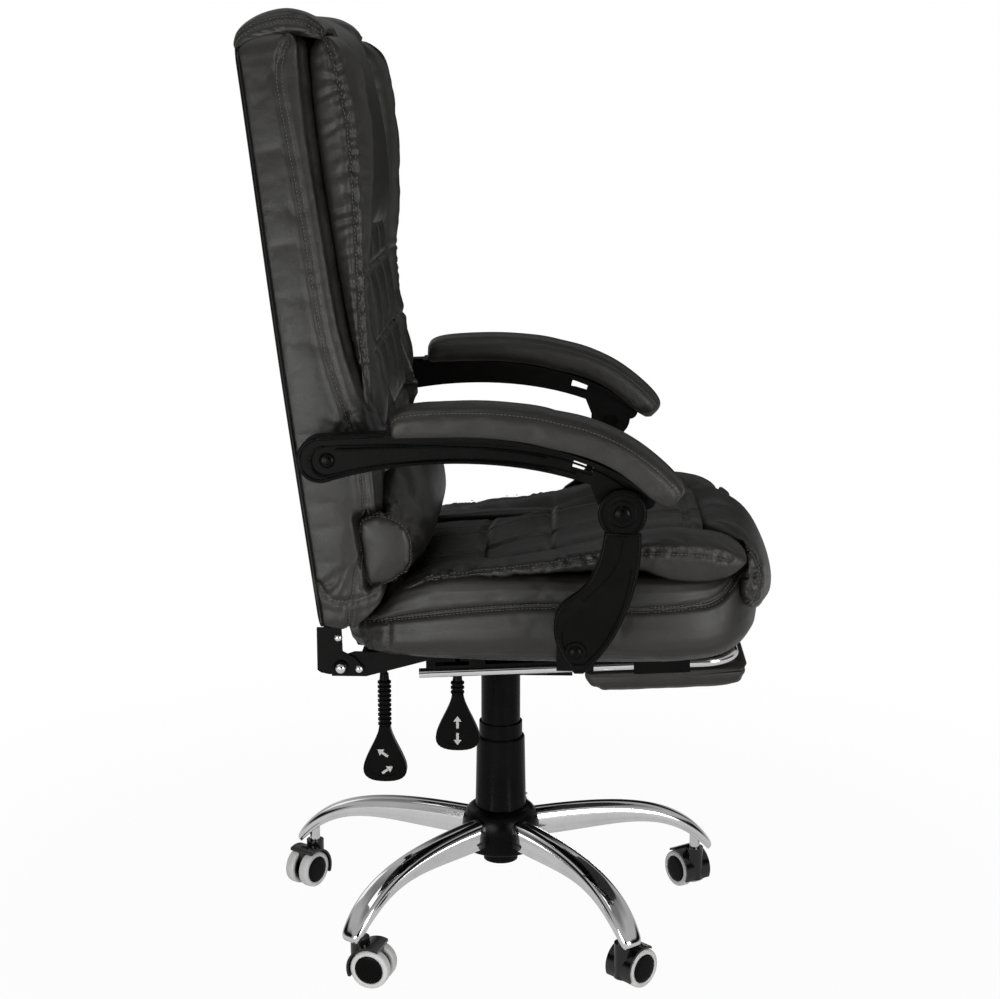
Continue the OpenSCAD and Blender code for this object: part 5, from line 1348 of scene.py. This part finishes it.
paddleSizes = {"face": -174.25, "lift": (-48.0, 316.6), "recline": (-139.0, 274.6), "thick": 0.35}


# plain arrows on the paddles: flat outlines drawn in the side view and given a small thickness
def makeArrows():
    straight = [(-1.6, -7), (1.6, -7), (1.6, 2), (5, 2), (0, 9), (-5, 2), (-1.6, 2)]
    marks = {"lift": [(0, 8, 0), (0, -12, 180)], "recline": [(-2, 9, 55), (2, -13, -55)]}
    for name, spots in marks.items():
        points, faces = [], []
        for across, up, turn in spots:
            a = math.radians(turn)
            first = len(points)
            outline = [(paddleSizes[name][0] + across + x*math.cos(a) - z*math.sin(a),
                        paddleSizes[name][1] + up + x*math.sin(a) + z*math.cos(a)) for x, z in straight]
            for y in (paddleSizes["face"], paddleSizes["face"] - paddleSizes["thick"]):
                points += [(x, y, z) for x, z in outline]
            n = len(outline)
            faces += [[first + n + k for k in range(n)], [first + k for k in range(n - 1, -1, -1)]]
            faces += [[first + k, first + (k + 1) % n, first + n + (k + 1) % n, first + n + k]
                      for k in range(n)]
        piece = makeMesh(name + "Arrows", points, faces, markInk, False)
        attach(piece, name + "_lever")


makeArrows()


studioSettings = {
    "floor": 9.0, "white": 0.965, "ambient": 0.11, "mirrored": 0.42,
    "lights": {
        "keyLight": {"place": (-1.1, -2.3, 0.5), "aim": (0, 0, 0.7), "size": (1.2, 0.8), "power": 21.0},
        "fillLight": {"place": (1.9, -2.2, 0.7), "aim": (0.2, 0, 0.55), "size": (1.2, 1.0), "power": 27.0},
        "topLight": {"place": (-0.6, -0.6, 2.8), "aim": (0, 0, 0.5), "size": (1.6, 1.2), "power": 8.0},
        "rimLight": {"place": (-2.2, 2.2, 1.8), "aim": (0, 0, 0.7), "size": (1.6, 1.2), "power": 4.0}
    },
    "cards": {
        "Front": {"centre": (0.2, -3.4, 1.0), "size": (7.0, 1.9), "turn": (90, 0, 0), "share": 1.0},
        "Left": {"centre": (-3.0, -0.4, 0.9), "size": (3.6, 1.5), "turn": (90, 0, 90), "share": 1.0},
        "Right": {"centre": (3.0, -0.4, 0.9), "size": (3.6, 1.5), "turn": (90, 0, 90), "share": 1.0},
        "Far": {"centre": (0.7, 2.8, 1.0), "size": (3.4, 2.2), "turn": (90, 0, 0), "share": 1.0},
        "Top": {"centre": (0.0, 0.0, 3.4), "size": (7.0, 7.0), "turn": (0, 0, 0), "share": 0.55}
    }
}


# pale floor: mostly its own white for the camera and for reflections, the rest lit, so that the
# chair's shadow shows faintly
def floorPaint():
    paint = Paint("paleFloor")
    rays = paint.node("LightPath", out="Is Camera Ray")
    glossy = rays.beside("Is Glossy Ray") * studioSettings["mirrored"]
    shown = rays + glossy + rays.beside("Is Transmission Ray")
    seen = paint.node("Math", {"operation": "MINIMUM"}, {0: shown, 1: 1.0})
    matte = paint.node("BsdfDiffuse", None, {"Color": rgba(0.9, 0.9, 0.9)})
    glow = paint.node("Emission", None, {"Color": rgba(1, 1, 1), "Strength": 1.0})
    away = paint.node("VectorMath", {"operation": "LENGTH"}, {0: paint.place}, out="Value")
    white = paint.ramp(away, 0.6, 1.2, studioSettings["white"], 1.0)
    return paint.end(paint.node("MixShader", None, {0: seen * white, 1: matte, 2: glow}))


# sky: full white for the camera and through glass, dimmer in reflections, dimmest as light
def skyPaint():
    paint = Paint("studio", world=True)
    rays = paint.node("LightPath", out="Is Camera Ray")
    seen = paint.node("Math", {"operation": "MAXIMUM"}, {0: rays, 1: rays.beside("Is Transmission Ray")})
    ambient = studioSettings["ambient"]
    others = rays.beside("Is Glossy Ray") * (studioSettings["mirrored"] - ambient) + ambient
    strength = paint.ramp(seen, 0.0, 1.0, others, 1.0)
    return paint.end(paint.node("Background", None, {"Color": rgba(1, 1, 1), "Strength": strength}))


# flat rectangle that is part of the studio and not of the chair
def stagePiece(name, size, paint):
    w, h = size[0]/2, size[1]/2
    sheet = bpy.data.meshes.new(name)
    sheet.from_pydata([(-w, -h, 0), (w, -h, 0), (w, h, 0), (-w, h, 0)], [], [(0, 1, 2, 3)])
    sheet.materials.append(paint)
    made = bpy.data.objects.new(name, sheet)
    bpy.context.scene.collection.objects.link(made)
    return made


# dark card with soft edges that only reflections see, so that the chrome gets its dark streaks
def darkCard(name, centre, size, turn, share):
    w, h = size[0]/2, size[1]/2
    paint = Paint(name)
    shade = paint.blend(paint.noise(2.0), (0.01, 0.01, 0.01), (0.03, 0.03, 0.03))
    dark = paint.node("BsdfDiffuse", None, {"Color": shade})
    clear = paint.node("BsdfTransparent", None, {"Color": rgba(1, 1, 1)})
    parts = paint.node("SeparateXYZ", None, {"Vector": paint.place})
    across, upward = [paint.node("Math", {"operation": "ABSOLUTE"}, {0: part})
                      for part in (parts, parts.beside("Y"))]
    fade = paint.ramp(across, w*0.6, w, share, 0.0) * paint.ramp(upward, h*0.45, h, 1.0, 0.0)
    card = stagePiece(name, size, paint.end(paint.node("MixShader", None, {0: fade, 1: clear, 2: dark})))
    card.location = centre
    card.rotation_euler = [math.radians(a) for a in turn]
    card.visible_camera = card.visible_diffuse = card.visible_shadow = False


# rectangular lamp that faces its aim
def softLight(name, place, aim, size, power):
    lamp = bpy.data.lights.new(name, "AREA")
    lamp.shape = "RECTANGLE"
    lamp.size, lamp.size_y = size
    lamp.energy = power
    made = bpy.data.objects.new(name, lamp)
    made.location = place
    gaze = np.array(place) - np.array(aim)
    made.rotation_euler = (math.acos(gaze[2]/np.linalg.norm(gaze)), 0.0,
                           math.atan2(gaze[1], gaze[0]) + math.pi/2)
    bpy.context.scene.collection.objects.link(made)


# pale floor, sky, four lamps and the dark cards
def studio():
    stagePiece("floor", (2*studioSettings["floor"],)*2, floorPaint())
    bpy.context.scene.world = skyPaint()
    for name, light in studioSettings["lights"].items():
        softLight(name, **light)
    for name, card in studioSettings["cards"].items():
        darkCard("darkCard" + name, **card)


studio()
